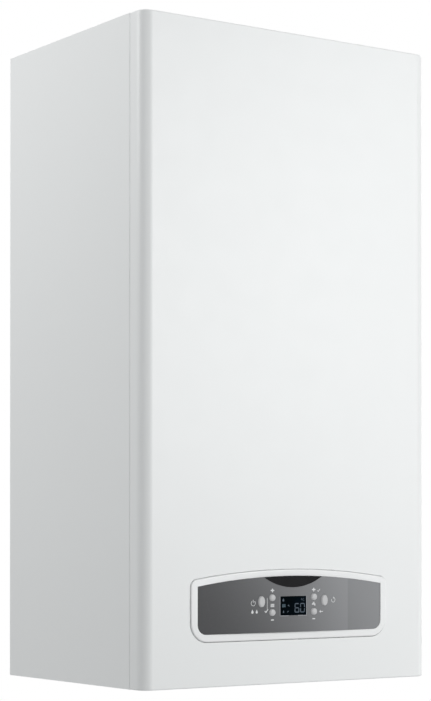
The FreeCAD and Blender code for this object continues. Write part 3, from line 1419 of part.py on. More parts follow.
def fan_housing():
    centre = ("fan_x", "fan_level")
    neck = f"({CHAMBER_TOP} - sheet - 0.8)"
    duct = ("fan_x + 2", "fan_radius + fan_x")
    spigot = "(fan_thick / 2 - 0.5)"
    scroll = fuse(
        "fan_scroll",
        rod("fan_drum", "y", centre, ("-fan_front", "-fan_rear"), "fan_radius"),
        box("fan_duct", duct, ("-fan_front", "-fan_rear"), ("fan_level", f"{neck} - 8")),
        rod("fan_spigot", "z", ("(2 * fan_x + fan_radius + 2) / 2", f"-{FAN_MIDDLE}"), (f"{neck} - 9", neck),
            spigot),
    )
    inside = fuse(
        "fan_inside",
        rod("fan_room", "y", centre, ("-fan_front + 1.5", "-fan_rear - 1.5"), "fan_radius - 1.5"),
        box("fan_way", (f"{duct[0]} + 1.5", f"{duct[1]} - 1.5"), ("-fan_front + 1.5", "-fan_rear - 1.5"),
            ("fan_level", f"{neck} - 9.5")),
        rod("fan_mouth", "y", centre, ("-fan_rear - 2", "-fan_rear + 1"), "33"),
        rod("fan_shaft_hole", "y", centre, ("-fan_front - 1", "-fan_front + 2"), "fan_shaft + 2"),
        rod("fan_throat", "z", ("(2 * fan_x + fan_radius + 2) / 2", f"-{FAN_MIDDLE}"),
            (f"{neck} - 12", f"{neck} + 1"),
            f"{spigot} - 1.5"),
    )
    node("fan_housing", cut("fan_shell", scroll, inside))


def fan_motor():
    profile = [
        ("fan_shaft", "0.2"), ("36", "0.2"), ("36", "6"), ("30", "6"), ("30", "36"), ("22", "42"),
        ("0", "42"),
        ("0", "28"), ("fan_shaft", "28"),
    ]
    node("fan_motor", lathe("fan_motor_turned", "front", ("fan_x", "-fan_front", "fan_level"), profile))


def fan_impeller():
    wheel = lathe("wheel_disc", "front", ("fan_x", "-fan_rear - 8", "fan_level"), [
        ("0", "fan_thick - 29"), ("8", "fan_thick - 29"), ("12", "fan_thick - 15"),
        ("fan_wheel", "fan_thick - 15"),
        ("fan_wheel", "fan_thick - 13.5"), ("fan_shaft - running_gap", "fan_thick - 13.5"),
        ("fan_shaft - running_gap", "fan_thick + 18"), ("0", "fan_thick + 18"),
    ])
    ring = tube("wheel_ring", "y", ("fan_x", "fan_level"), ("-fan_rear - 9.5", "-fan_rear - 8"), "fan_wheel",
                "fan_wheel - 12")
    pieces = [wheel, ring]
    count = int(round(value("fan_blades")))
    for step in range(count):
        angle = 360.0 * step / count
        blade = doc.addObject("Part::Box", "wheel_blade")
        blade.setExpression("Length", bound("11"))
        blade.setExpression("Width", bound("fan_thick - 14.5"))
        blade.setExpression("Height", bound("1.2"))
        swing = math.radians(angle)
        place(blade, f"fan_x + (fan_wheel - 11.5) * {math.cos(swing):.5f}", "-fan_front + 6",
              up(f"fan_level + (fan_wheel - 11.5) * {math.sin(swing):.5f}"))
        blade.Placement = FreeCAD.Placement(blade.Placement.Base,
                                            FreeCAD.Rotation(FreeCAD.Vector(0, 1, 0), -angle - 20))
        pieces.append(blade)
    node("fan_impeller", fuse("wheel_whole", *pieces))


def pressure_switch():
    profile = [
        ("0", "0.3"), ("30", "0.3"), ("30", "8"), ("33", "8"), ("33", "12"), ("30", "12"), ("30", "19"),
        ("8", "19"), ("8", "24"), ("0", "24"),
    ]
    disc = lathe("switch_disc", "front", ("chamber_half - 58", "-chamber_rear - sheet", "fan_level + 24"),
                 profile)
    nipple = rod("switch_nipple", "z", ("chamber_half - 68", "-chamber_rear - 14"),
                 ("fan_level - 20", "fan_level + 10"), "3")
    node("pressure_switch", fuse("switch_whole", disc, nipple))


def flue_collar():
    profile = [
        ("flue_radius", "0"), ("flue_radius + 5", "0"), ("flue_radius + 5", "collar_wall"),
        ("flue_radius + collar_wall", "collar_wall"), ("flue_radius + collar_wall", "flue_rise"),
        ("flue_radius", "flue_rise"),
    ]
    node("flue_collar", lathe("flue_turned", "z", ("0", "-flue_y", CHAMBER_TOP), profile))


def air_collar():
    profile = [
        ("air_radius", "0"), ("collar_screws + 5", "0"), ("collar_screws + 5", "collar_wall"),
        ("air_radius + collar_wall", "collar_wall"), ("air_radius + collar_wall", "air_rise"),
        ("air_radius", "air_rise"),
    ]
    turned = lathe("air_turned", "z", ("0", "-flue_y", "height"), profile)
    holes = [
        rod("air_screw_hole", "z", collar_screw(number), ("height - 1", "height + collar_wall + 1"),
            "screw_radius + running_gap")
        for number in range(4)
    ]
    node("air_collar", cut("air_drilled", turned, *holes))


def build():
    back_frame()
    side_panel("left_side_panel", "-1")
    side_panel("right_side_panel", "1")
    top_plate()
    bottom_plate()
    front_casing()
    control_bezel()
    control_fascia()
    badge_plate()
    display_window()
    display_board()
    control_tray()
    main_board()
    panel_pivots()
    for name, x, level in round_places():
        round_button(name, x, level)
    for name, x, level in oval_places():
        oval_button(name, x, level)
    pipe_connectors()
    flow_group()
    diverter_motor()
    diverter_spindle()
    return_group()
    pump_motor()
    pump_rotor()
    plate_exchanger()
    gas_valve()
    gas_pipe()
    flow_pipe()
    return_pipe()
    safety_valve()
    relief_knob()
    filling_knob()
    pressure_gauge()
    gauge_needle()
    power_gland()
    expansion_vessel()
    expansion_pipe()
    chamber_box()
    chamber_seal()
    chamber_cover()
    sight_glass()
    sheet_screws()
    burner_frame()
    burner_blades()
    injector_manifold()
    electrodes()
    combustion_walls()
    insulation_boards()
    exchanger_block()
    exchanger_tubes()
    fume_hood()
    fan_housing()
    fan_motor()
    fan_impeller()
    pressure_switch()
    flue_collar()
    air_collar()


def write_parts():
    os.makedirs("parts", exist_ok=True)
    for item in doc.Objects:
        if "Invalid" in item.State or "Error" in item.State:
            raise RuntimeError(f"{item.Label} failed: {item.State}")
    for solid in NODES:
        if solid.Shape.isNull() or not solid.Shape.isValid():
            raise RuntimeError(f"{solid.Label} has no valid shape")
    for solid in NODES:
        solid.Shape.exportStep(f"parts/{solid.Label}.step")
        print(f"{solid.Label}: {len(solid.Shape.Solids)} solids, {solid.Shape.Volume / 1000:.2f} cm3")
    print(len(NODES), "sub-parts")


build()
doc.recompute()
write_parts()
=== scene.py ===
import json
import math

import bmesh
import bpy
from mathutils import Matrix, Vector


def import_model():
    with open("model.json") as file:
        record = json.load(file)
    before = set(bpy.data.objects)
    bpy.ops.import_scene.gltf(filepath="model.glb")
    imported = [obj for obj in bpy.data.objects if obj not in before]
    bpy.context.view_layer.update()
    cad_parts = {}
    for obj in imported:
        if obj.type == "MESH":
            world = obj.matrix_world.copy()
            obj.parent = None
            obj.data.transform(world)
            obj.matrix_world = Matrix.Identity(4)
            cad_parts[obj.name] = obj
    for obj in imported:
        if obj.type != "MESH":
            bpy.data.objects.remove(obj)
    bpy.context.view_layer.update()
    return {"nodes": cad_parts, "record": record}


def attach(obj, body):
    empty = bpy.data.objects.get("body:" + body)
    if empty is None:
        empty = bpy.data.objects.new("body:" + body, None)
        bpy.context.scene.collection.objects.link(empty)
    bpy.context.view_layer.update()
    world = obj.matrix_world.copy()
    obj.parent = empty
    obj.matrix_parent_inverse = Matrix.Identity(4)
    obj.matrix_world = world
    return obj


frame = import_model()

# Metres in the part's frame: the wall is y = 0, the casing's lower edge is at BASE.
BASE = -0.690
FASCIA_Y = -0.2970
WINDOW_Y = -0.3001
GAUGE_FACE = (0.099, -0.218, BASE + 0.024)
# The fascia's painted reflection spans FASCIA_WIDTH and FASCIA_RISE above FASCIA_LOW; its painted sheen
# ends between SHEEN_FROM and SHEEN_TO
FASCIA_WIDTH = 0.258
FASCIA_LOW = BASE + 0.0585
FASCIA_RISE = 0.062
SHEEN_FROM = 0.0785
SHEEN_TO = 0.0800
DISPLAY_WIDTH = 0.036

# Millimetres, for the prints: the fascia bows forward between its ends
FASCIA_HALF = 128.9
FASCIA_BOW = 3.2
PRINT_THICK = 0.06
LEFT_COLUMN = -29.2
RIGHT_COLUMN = 29.1
PLUS_LEVEL = 105.9
MINUS_LEVEL = 72.7
DISPLAY_HALF = 18.35
DISPLAY_LOW = 77.3
DISPLAY_HIGH = 99.1
DISPLAY_RIM = 0.7
SCALE_OUTER = 16.5
SCALE_STEPS = 12
SCALE_START = 225.0
SCALE_TURN = 270.0

# Lamps: place, target, edge length in metres and watts
LAMPS = {
    "front_right": ((1.3, -2.4, 0.1), (0.0, -0.3, -0.3), 1.2, 36.4),
    "low_right": ((1.2, -0.95, -0.8), (0.1, -0.3, -0.6), 0.5, 1.5),
    "left_rear": ((-1.5, 0.35, 0.6), (-0.2, -0.12, -0.25), 0.8, 13.8),
    "front_left": ((-1.4, -2.6, 0.25), (-0.15, -0.28, -0.2), 1.0, 7.0),
    "above": ((-0.1, -0.5, 2.2), (0.0, -0.2, 0.0), 2.2, 6.0),
}
SURROUND_STRENGTH = 0.28

# The camera stands in front of the left edge, a little above the lower end
CAMERA_PLACE = (-1.3906, -2.1691, BASE + 0.1786)
CAMERA_YAW = (0.5661, 0.8243)
CAMERA_PITCH = math.radians(0.5)
LENS_MM = 105.38
SENSOR_MM = 36.0
LENS_SHIFT = 0.2247

FLOOR_HALF = 2.2
FLOOR_DROP = 1.1
FLOOR_FADE = (0.7, 2.1)


class Value:
    """A shader value that takes part in arithmetic."""

    def __init__(self, nodes, socket):
        self.nodes = nodes
        self.socket = socket

    def calc(self, operation, first, second):
        return self.nodes.node("ShaderNodeMath", {0: first, 1: second}, operation=operation)("Value")

    def __add__(self, other):
        return self.calc("ADD", self, other)

    def __sub__(self, other):
        return self.calc("SUBTRACT", self, other)

    def __rsub__(self, other):
        return self.calc("SUBTRACT", other, self)

    def __mul__(self, other):
        return self.calc("MULTIPLY", self, other)

    def __truediv__(self, other):
        return self.calc("DIVIDE", self, other)

    def clamp(self):
        """Kept between 0 and 1."""
        return self.calc("MINIMUM", self.calc("MAXIMUM", self, 0.0), 1.0)

    def ramp(self, low, high):
        """0 below low, 1 above high, smooth between."""
        made = self.nodes.node("ShaderNodeMapRange", {"Value": self, "From Min": low, "From Max": high},
                               interpolation_type="SMOOTHSTEP")
        return made("Result")


class Nodes:
    """One node tree."""

    def __init__(self, tree):
        self.tree = tree

    def node(self, kind, inputs, **settings):
        """Make one node; inputs are values or numbers; the answer gives its outputs by name."""
        made = self.tree.nodes.new(kind)
        for name, setting in settings.items():
            setattr(made, name, setting)
        for name, given in inputs.items():
            self.feed(made.inputs[name], given)
        return lambda output: Value(self, made.outputs[output])

    def feed(self, socket, given):
        if isinstance(given, Value):
            self.tree.links.new(given.socket, socket)
        else:
            socket.default_value = given


class Look(Nodes):
    """One procedural material round a principled shader."""

    def __init__(self, name):
        self.material = bpy.data.materials.new(name)
        self.material.use_nodes = True
        super().__init__(self.material.node_tree)
        self.shader = self.tree.nodes["Principled BSDF"]
        self.place = self.node("ShaderNodeTexCoord", {})("Object")

    def put(self, name, given):
        self.feed(self.shader.inputs[name], given)

    def axis(self, name):
        return self.node("ShaderNodeSeparateXYZ", {"Vector": self.place})(name)

    def stretched(self, x, y, z):
        made = self.node("ShaderNodeVectorMath", {0: self.place, 1: (x, y, z)}, operation="MULTIPLY")
        return made("Vector")

    def noise(self, scale, detail=2.0, vector=None):
        made = self.node("ShaderNodeTexNoise",
                         {"Vector": vector or self.place, "Scale": scale, "Detail": detail})
        return made("Fac")

    def cells(self, scale):
        return self.node("ShaderNodeTexVoronoi", {"Vector": self.place, "Scale": scale})("Color")

    def blend(self, amount, first, second):
        return self.node("ShaderNodeMix", {0: amount, 6: first, 7: second}, data_type="RGBA")(2)

    def bump(self, height, strength, distance):
        made = self.node("ShaderNodeBump", {"Height": height, "Strength": strength, "Distance": distance})
        self.put("Normal", made("Normal"))


def rgba(red, green=None, blue=None):
    """Opaque colour, or a grey of one value."""
    if green is None:
        green = blue = red
    return (red, green, blue, 1.0)


def shaded(colour, factor):
    """The colour made darker or lighter."""
    return tuple(min(1.0, part * factor) for part in colour[:3]) + (1.0,)


def enamel(name, colour, rough=0.38):
    """Powder coat: fine orange peel and a faint unevenness of tint."""
    look = Look(name)
    cloud = look.noise(3.0, 3.0)
    look.put("Base Color", look.blend(cloud, shaded(colour, 0.985), shaded(colour, 1.01)))
    look.put("Roughness", look.noise(40.0) * 0.08 + (rough - 0.04))
    look.put("Specular IOR Level", 0.42)
    look.bump(look.noise(900.0, 1.0), 0.05, 0.0002)
    return look.material


def plastic(name, colour, rough=0.45, grain=1400.0, relief=0.12, glow=0.0):
    """Moulded plastic with a fine texture; glow is an emission of its own colour, a painted glow that
    evens out its lit and shaded sides.
    """
    look = Look(name)
    cloud = look.noise(18.0, 3.0)
    look.put("Base Color", look.blend(cloud, shaded(colour, 0.93), shaded(colour, 1.06)))
    look.put("Roughness", look.noise(120.0) * 0.12 + (rough - 0.06))
    look.bump(look.noise(grain, 2.0), relief, 0.0002)
    # Painted glow: an emission of the plastic's own colour that lights its shaded sides, though it is no
    # lamp
    look.put("Emission Color", colour)
    look.put("Emission Strength", glow)
    return look.material


def zinc(name, colour):
    """Galvanised sheet with its spangle."""
    look = Look(name)
    grain = look.node("ShaderNodeSeparateColor", {"Color": look.cells(95.0)})("Red")
    look.put("Base Color", look.blend(grain, shaded(colour, 0.86), shaded(colour, 1.08)))
    look.put("Metallic", 0.9)
    look.put("Roughness", grain * 0.16 + 0.34)
    look.bump(look.noise(320.0), 0.04, 0.0002)
    return look.material


def metal(name, colour, rough=0.3, stretch=(400.0, 400.0, 30.0), tint=0.1):
    """Drawn, turned or cast metal: streaks along one direction and a little staining."""
    look = Look(name)
    streak = look.noise(1.0, 3.0, look.stretched(*stretch))
    stain = look.noise(28.0, 4.0)
    look.put("Base Color", look.blend(stain, shaded(colour, 1.0 - tint), shaded(colour, 1.0 + tint * 0.6)))
    look.put("Metallic", 1.0)
    look.put("Roughness", streak * 0.2 + (rough - 0.1))
    look.bump(streak, 0.06, 0.0002)
    return look.material


def fibre(name, colour):
    """Pressed ceramic fibre or glazed ceramic."""
    look = Look(name)
    strands = look.noise(1.0, 4.0, look.stretched(220.0, 900.0, 300.0))
    look.put("Base Color", look.blend(strands, shaded(colour, 0.86), colour))
    look.put("Roughness", strands * 0.1 + 0.8)
    look.bump(strands, 0.5, 0.0006)
    return look.material


def board(name):
    """Green circuit board with paler tracks."""
    look = Look(name)
    upright = look.node("ShaderNodeVectorRotate", {"Vector": look.place, "Angle": math.pi / 2},
                        rotation_type="X_AXIS")("Vector")
    tracks = look.node("ShaderNodeTexBrick", {
        "Vector": upright, "Scale": 60.0, "Mortar Size": 0.03, "Color1": rgba(0.02, 0.13, 0.05),
        "Color2": rgba(0.03, 0.17, 0.07), "Mortar": rgba(0.09, 0.32, 0.14)})("Color")
    look.put("Base Color", tracks)
    look.put("Roughness", look.noise(90.0) * 0.15 + 0.35)
    look.bump(look.noise(500.0), 0.08, 0.0002)
    return look.material


def fascia():
    """Dark grey print with a painted reflection that makes it lighter to the right and to the top, and a
    painted sheen up to an upright edge, beyond which the print is a little darker.
    """
    look = Look("grey_fascia")
    across = look.axis("X") / FASCIA_WIDTH + 0.5
    rise = (look.axis("Z") - FASCIA_LOW) / FASCIA_RISE
    beyond = look.axis("X").ramp(SHEEN_FROM, SHEEN_TO)
    # Painted sheen: lighter from the middle up to the upright edge; beyond that edge the print itself is a
    # little darker
    sheen = look.axis("X").ramp(0.0, SHEEN_FROM) * (1.0 - beyond) * 0.12 - beyond * 0.03
    # Painted reflection: the grey turns lighter to the right and to the top
    amount = (across * 0.86 + rise * 0.14).ramp(0.0, 1.06) + sheen
    grain = look.noise(1500.0, 1.0)
    tone = look.blend(amount, rgba(0.034, 0.035, 0.038), rgba(0.264, 0.270, 0.279))
    look.put("Base Color", look.blend(grain * 0.12, tone, rgba(0.3)))
    look.put("Roughness", grain * 0.08 + 0.40)
    look.put("Specular IOR Level", 0.22)
    look.bump(grain, 0.03, 0.0001)
    return look.material


def gloss(name, colour):
    """Smooth dark glossy plate with faint fine wear."""
    look = Look(name)
    wear = look.noise(60.0, 4.0)
    look.put("Base Color", look.blend(wear, shaded(colour, 0.8), shaded(colour, 1.2)))
    look.put("Roughness", wear * 0.08 + 0.08)
    look.put("Specular IOR Level", 0.12)
    return look.material


def display_glass():
    """Dark window with a faint blue-green glow that is stronger to the right."""
    look = Look("display_glass")
    glow = (look.axis("X") / DISPLAY_WIDTH + 0.5).clamp() * look.noise(70.0, 2.0).ramp(0.2, 0.9)
    look.put("Base Color", look.blend(glow, rgba(0.0006, 0.0022, 0.0032), rgba(0.0012, 0.0060, 0.0125)))
    look.put("Roughness", look.noise(50.0) * 0.05 + 0.14)
    look.put("Specular IOR Level", 0.01)
    return look.material


def glass():
    """Clear pane of the sight hole, slightly smeared."""
    look = Look("glass")
    smear = look.noise(30.0, 3.0)
    look.put("Base Color", rgba(0.9, 0.95, 0.94))
    look.put("Roughness", smear * 0.06 + 0.02)
    look.put("Transmission Weight", 0.9)
    return look.material


def ink(name, colour, shine=0.0):
    """Screen print or lit segment with a slightly uneven coat."""
    look = Look(name)
    coat = look.noise(900.0, 2.0)
    look.put("Base Color", look.blend(coat, shaded(colour, 0.88), colour))
    look.put("Roughness", coat * 0.1 + 0.5)
    look.put("Emission Color", colour)
    look.put("Emission Strength", shine)
    return look.material


MATERIALS = {
    "white_enamel": enamel("white_enamel", rgba(0.83, 0.845, 0.842)),
    "zinc_sheet": zinc("zinc_sheet", rgba(0.62, 0.64, 0.65)),
    "white_plastic": plastic("white_plastic", rgba(0.835, 0.845, 0.845), 0.32, 1600.0, 0.02),
    "grey_fascia": fascia(),
    "black_gloss": gloss("black_gloss", rgba(0.008, 0.008, 0.009)),
    "display_glass": display_glass(),
    # The buttons have a painted glow, so that their shaded flanks look as bright as their faces
    "button_grey": plastic("button_grey", rgba(0.205, 0.207, 0.21), 0.4, glow=1.15),
    "circuit_board": board("circuit_board"),
    "grey_plastic": plastic("grey_plastic", rgba(0.16, 0.165, 0.17), 0.5),
    "steel": metal("steel", rgba(0.6, 0.6, 0.61), 0.32),
    "brass": metal("brass", rgba(0.75, 0.55, 0.24), 0.28, (300.0, 300.0, 300.0)),
    "composite": plastic("composite", rgba(0.035, 0.035, 0.038), 0.55, 900.0, 0.25),
    "motor_black": enamel("motor_black", rgba(0.03, 0.03, 0.033), 0.45),
    "cast_aluminium": metal("cast_aluminium", rgba(0.68, 0.69, 0.7), 0.45, (700.0, 700.0, 700.0), 0.14),
    "copper": metal("copper", rgba(0.78, 0.40, 0.26), 0.3, (120.0, 120.0, 120.0), 0.24),
    "red_plastic": plastic("red_plastic", rgba(0.5, 0.02, 0.018), 0.35),
    "blue_plastic": plastic("blue_plastic", rgba(0.02, 0.09, 0.33), 0.45),
    "gauge_case": plastic("gauge_case", rgba(0.02, 0.02, 0.021), 0.5),
    "needle_red": ink("needle_red", rgba(0.7, 0.04, 0.02)),
    "vessel_red": enamel("vessel_red", rgba(0.36, 0.02, 0.016), 0.42),
    "silicone": plastic("silicone", rgba(0.3, 0.3, 0.29), 0.7, 600.0, 0.3),
    "glass": glass(),
    "fibre_board": fibre("fibre_board", rgba(0.78, 0.75, 0.68)),
    "white_ceramic": fibre("white_ceramic", rgba(0.82, 0.8, 0.74)),
}
SLOT_OF = {entry["node"]: entry["material_slot"] for entry in frame["record"]["subparts"]}
for name, solid in frame["nodes"].items():
    solid.data.materials.clear()
    solid.data.materials.append(MATERIALS[SLOT_OF[name]])


def finish_piece(name, shape, material, body):
    """Make an object of a mesh whose points lie in the part's frame."""
    bmesh.ops.recalc_face_normals(shape, faces=shape.faces)
    mesh = bpy.data.meshes.new(name)
    shape.to_mesh(mesh)
    shape.free()
    piece = bpy.data.objects.new(name, mesh)
    bpy.context.collection.objects.link(piece)
    mesh.materials.append(material)
    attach(piece, body)


class Print:
    """Thin marks on a plane; x and z are millimetres to the right and up, as one looks at it."""

    def __init__(self, origin, up=(0.0, 0.0, 1.0), bow=0.0):
        self.shape = bmesh.new()
        self.bow = bow
        right = Vector((1.0, 0.0, 0.0))
        turned = Matrix((right, Vector(up), right.cross(Vector(up)))).transposed().to_4x4()
        self.plane = Matrix.Translation(origin) @ turned @ Matrix.Scale(0.001, 4)

    def spot(self, x, z, turn=0.0):
        return Matrix.Translation((x, z, 0.0)) @ Matrix.Rotation(math.radians(turn), 4, "Z")

    def bar(self, x, z, wide, tall, turn=0.0):
        place = self.spot(x, z, turn) @ Matrix.Diagonal((wide, tall, 1.0, 1.0))
        bmesh.ops.create_grid(self.shape, x_segments=1, y_segments=1, size=0.5, matrix=place)

    def area(self, corners):
        self.shape.faces.new([self.shape.verts.new((x, z, 0.0)) for x, z in corners])

    def arc(self, x, z, outer, inner, first=0.0, last=360.0, steps=28):
        """Part of a ring, or a whole one."""
        start = self.spot(x, z, first)
        ends = [self.shape.verts.new(start @ Vector((radius, 0.0, 0.0))) for radius in (inner, outer)]
        edge = self.shape.edges.new(ends)
        bmesh.ops.spin(self.shape, geom=ends + [edge], cent=(x, z, 0.0), axis=(0.0, 0.0, 1.0),
                       angle=math.radians(last - first), steps=steps, use_merge=last - first > 359)

    def plus(self, x, z, wide, tall, stroke):
        self.bar(x, z, wide, stroke)
        rest = (tall - stroke) / 2
        for side in (1, -1):
            self.bar(x, z + side * (stroke + rest) / 2, stroke, rest)

    def flame(self, x, z, size):
        half = ((0.0, 0.55), (0.16, 0.22), (0.34, -0.08), (0.3, -0.34), (0.12, -0.5))
        side = [(x + u * size, z + v * size) for u, v in half]
        self.area(side + [(x - u * size, z + v * size) for u, v in reversed(half[1:])])

    def drop(self, x, z, size):
        rim = [(x, z + 0.55 * size)]
        for step in range(13):
            angle = math.radians(20 - step * 220 / 12)
            rim.append((x + 0.32 * size * math.cos(angle), z + (0.32 * math.sin(angle) - 0.18) * size))
        self.area(rim)

    def radiator(self, x, z, size):
        for step in range(-2, 3):
            self.bar(x + step * size * 0.2, z, size * 0.13, size * 0.72)
        for level in (-0.22, 0.22):
            for step in (-1.5, -0.5, 0.5, 1.5):
                self.bar(x + step * size * 0.2, z + level * size, size * 0.07, size * 0.1)

    def tap(self, x, z, size):
        self.bar(x - 0.05 * size, z + 0.42 * size, 0.5 * size, 0.13 * size)
        self.bar(x - 0.05 * size, z + 0.28 * size, 0.14 * size, 0.15 * size)
        outline = ((-0.5, 0.2), (-0.5, -0.06), (0.16, -0.06), (0.16, -0.3), (0.42, -0.3), (0.42, 0.06),
                   (0.28, 0.2))
        self.area([(x + u * size, z + v * size) for u, v in outline])

    def digit(self, x, z, wide, tall, stroke, lit):
        """Seven-segment figure; lit names the segments a to g."""
        half = tall / 2
        run = wide - 1.6 * stroke
        rise = half - 1.3 * stroke
        for key, level in (("a", half - stroke / 2), ("g", 0.0), ("d", stroke / 2 - half)):
            if key in lit:
                self.bar(x, z + level, run, stroke)
        for key, side, level in (("f", -1, 1), ("b", 1, 1), ("e", -1, -1), ("c", 1, -1)):
            if key in lit:
                self.bar(x + side * (wide - stroke) / 2, z + level * half / 2, stroke, rise)

    def done(self, name, material, body="control_panel"):
        """Raise the marks by the print's thickness and set them on their plane."""
        raised = bmesh.ops.extrude_face_region(self.shape, geom=self.shape.faces[:])
        moved = [item for item in raised["geom"] if isinstance(item, bmesh.types.BMVert)]
        bmesh.ops.translate(self.shape, verts=moved, vec=(0.0, 0.0, PRINT_THICK))
        for vert in self.shape.verts:
            vert.co.z += self.bow * (1 - (vert.co.x / FASCIA_HALF) ** 2)
        bmesh.ops.transform(self.shape, matrix=self.plane, verts=self.shape.verts)
        finish_piece(name, self.shape, material, body)


def panel_marks():
    """White symbols printed on the fascia."""
    marks = Print((0.0, FASCIA_Y, BASE), bow=FASCIA_BOW)
    for x in (LEFT_COLUMN, RIGHT_COLUMN):
        marks.plus(x, PLUS_LEVEL, 4.9, 4.1, 1.4)
        marks.bar(x, MINUS_LEVEL, 3.9, 1.25)
    marks.radiator(LEFT_COLUMN, 89.0, 5.2)
    marks.tap(29.2, 89.2, 5.4)
    # Power sign with the two season signs below it
    marks.arc(-55.5, 92.0, 3.1, 2.55, 125, 415)
    marks.bar(-55.5, 94.3, 0.6, 3.4)
    marks.flame(-56.6, 82.6, 4.6)
    marks.drop(-50.8, 82.6, 4.4)
    # Upright stroke that ends in a tick
    marks.bar(-36.4, 91.4, 0.55, 12.5)
    marks.bar(-38.9, 82.0, 1.0, 2.6, 45)
    marks.bar(-36.8, 83.1, 1.0, 5.2, -40)
    # Small tick beside the right plus
    marks.bar(35.2, 104.1, 0.7, 1.9, 45)
    marks.bar(36.8, 105.0, 0.7, 4.0, -38)
    # Reset arrow
    marks.arc(57.6, 93.6, 2.9, 2.3, -200, 90)
    marks.area([(57.6, 97.3), (57.6, 94.9), (59.6, 96.1)])
    # Arrow to the left, beside the lower right button
    marks.area([(37.0, 80.7), (39.2, 82.3), (39.2, 79.1)])
    marks.bar(40.9, 80.7, 3.4, 0.75)
    marks.done("panel_marks", ink("panel_ink", rgba(0.72, 0.73, 0.735)))


def display_marks():
    """Figures and small signs of the display, and its pale edge."""
    lit = Print((0.0, WINDOW_Y, BASE))
    lit.digit(5.1, 85.6, 6.4, 10.6, 1.0, "acdefg")
    lit.digit(13.0, 85.6, 6.4, 10.6, 1.0, "abcdef")
    lit.arc(11.6, 95.4, 0.95, 0.6)
    lit.arc(14.6, 94.6, 1.4, 0.95, 50, 310)
    lit.flame(-14.0, 95.0, 3.6)
    lit.tap(-6.6, 88.2, 2.6)
    lit.drop(-13.8, 81.6, 2.8)
    lit.bar(-7.6, 81.6, 2.4, 0.7, 35)
    lit.done("display_figures", ink("display_ink", rgba(0.036, 0.064, 0.094), 0.02))
    bright = Print((0.0, WINDOW_Y, BASE))
    bright.radiator(-13.4, 88.4, 5.0)
    bright.done("display_heating_sign", ink("display_blue", rgba(0.014, 0.050, 0.074), 0.03))
    edge = Print((0.0, FASCIA_Y, BASE), bow=FASCIA_BOW)
    for side in (-1, 1):
        edge.bar(side * (DISPLAY_HALF + DISPLAY_RIM / 2), (DISPLAY_LOW + DISPLAY_HIGH) / 2,
                 DISPLAY_RIM, DISPLAY_HIGH - DISPLAY_LOW)
    edge.bar(0.0, DISPLAY_LOW - DISPLAY_RIM / 2, 2 * (DISPLAY_HALF + DISPLAY_RIM), DISPLAY_RIM)
    edge.done("display_edge", ink("display_edge_ink", rgba(0.30, 0.31, 0.33)))


def gauge_marks():
    """Scale strokes of the pressure gauge, which is read from below."""
    scale = Print(GAUGE_FACE, up=(0.0, -1.0, 0.0))
    for step in range(SCALE_STEPS + 1):
        angle = SCALE_START - step * SCALE_TURN / SCALE_STEPS
        inner, stroke = (12.5, 0.8) if step % 3 == 0 else (14.2, 0.5)
        reach = (inner + SCALE_OUTER) / 2
        x = reach * math.cos(math.radians(angle))
        z = reach * math.sin(math.radians(angle))
        scale.bar(x, z, SCALE_OUTER - inner, stroke, angle)
    scale.done("gauge_scale", ink("gauge_ink", rgba(0.75)), "chassis")


panel_marks()
display_marks()
gauge_marks()


def area_light(name, place, target, size, power):
    """Square lamp that faces its target."""
    lamp = bpy.data.lights.new(name, "AREA")
    lamp.size = size
    lamp.energy = power
    holder = bpy.data.objects.new(name, lamp)
    bpy.context.collection.objects.link(holder)
    holder.location = place
    holder.rotation_euler = (Vector(target) - Vector(place)).to_track_quat("-Z", "Y").to_euler()


def seen_directly(nodes):
    """1 for rays that show the surround itself, straight or in metal and glass."""
    path = nodes.node("ShaderNodeLightPath", {})
    return (path("Is Camera Ray") + path("Is Glossy Ray") + path("Is Transmission Ray")).clamp()


def world():
    """Soft even surround that looks white."""
    surround = bpy.data.worlds.new("surround")
    bpy.context.scene.world = surround
    surround.use_nodes = True
    surround.node_tree.nodes.clear()
    nodes = Nodes(surround.node_tree)
    felt = nodes.node("ShaderNodeBackground",
                      {"Color": rgba(0.97, 0.985, 1.0), "Strength": SURROUND_STRENGTH})
    white = nodes.node("ShaderNodeBackground", {"Color": rgba(1.0)})
    mixed = nodes.node("ShaderNodeMixShader",
                       {0: seen_directly(nodes), 1: felt("Background"), 2: white("Background")})
    nodes.node("ShaderNodeOutputWorld", {"Surface": mixed("Shader")})


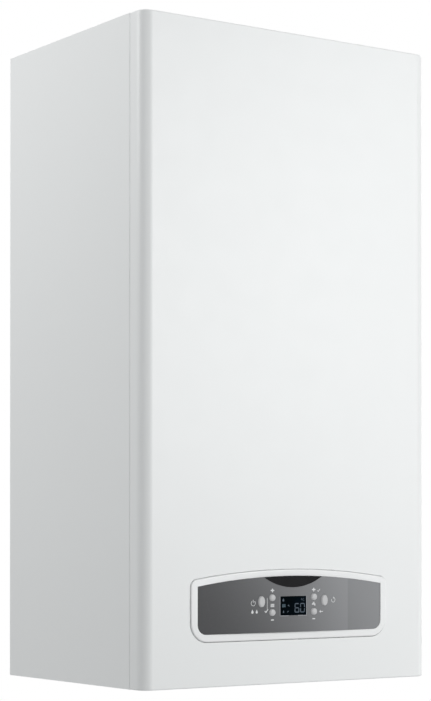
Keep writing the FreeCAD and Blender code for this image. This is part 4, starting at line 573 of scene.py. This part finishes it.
def floor():
    """Pale paper far below the hanging boiler; it keeps the shadow, fades out and is clear from below."""
    shape = bmesh.new()
    bmesh.ops.create_grid(shape, x_segments=1, y_segments=1, size=FLOOR_HALF)
    mesh = bpy.data.meshes.new("floor")
    shape.to_mesh(mesh)
    shape.free()
    ground = bpy.data.objects.new("floor", mesh)
    ground.location = (0.0, 0.0, BASE - FLOOR_DROP)
    bpy.context.collection.objects.link(ground)
    look = Look("floor_paper")
    look.put("Base Color", look.blend(look.noise(2.0), rgba(0.9), rgba(0.93)))
    look.put("Roughness", look.noise(60.0) * 0.1 + 0.8)
    paper = Value(look, look.shader.outputs["BSDF"])
    glow = look.node("ShaderNodeEmission", {"Color": rgba(1.0)})("Emission")
    clear = look.node("ShaderNodeBsdfTransparent", {})("BSDF")
    pale = look.node("ShaderNodeMixShader", {0: seen_directly(look) * 0.6, 1: paper, 2: glow})("Shader")
    reach = look.node("ShaderNodeVectorMath", {0: look.place}, operation="LENGTH")("Value")
    from_below = look.node("ShaderNodeNewGeometry", {})("Backfacing")
    gone = (reach.ramp(*FLOOR_FADE) + from_below).clamp()
    faded = look.node("ShaderNodeMixShader", {0: gone, 1: pale, 2: clear})("Shader")
    look.feed(look.tree.nodes["Material Output"].inputs["Surface"], faded)
    mesh.materials.append(look.material)


def camera():
    """View of the front and the left side, with the uprights kept upright by the lens shift."""
    lens = bpy.data.cameras.new("camera")
    lens.sensor_width = SENSOR_MM
    lens.lens = LENS_MM
    lens.shift_y = LENS_SHIFT
    holder = bpy.data.objects.new("camera", lens)
    bpy.context.collection.objects.link(holder)
    holder.location = CAMERA_PLACE
    level = math.cos(CAMERA_PITCH)
    way = Vector((CAMERA_YAW[0] * level, CAMERA_YAW[1] * level, math.sin(CAMERA_PITCH)))
    holder.rotation_euler = way.to_track_quat("-Z", "Y").to_euler()
    bpy.context.scene.camera = holder


world()
floor()
camera()
for name, setting in LAMPS.items():
    area_light(name, *setting)
bpy.context.scene.view_settings.view_transform = "Standard"
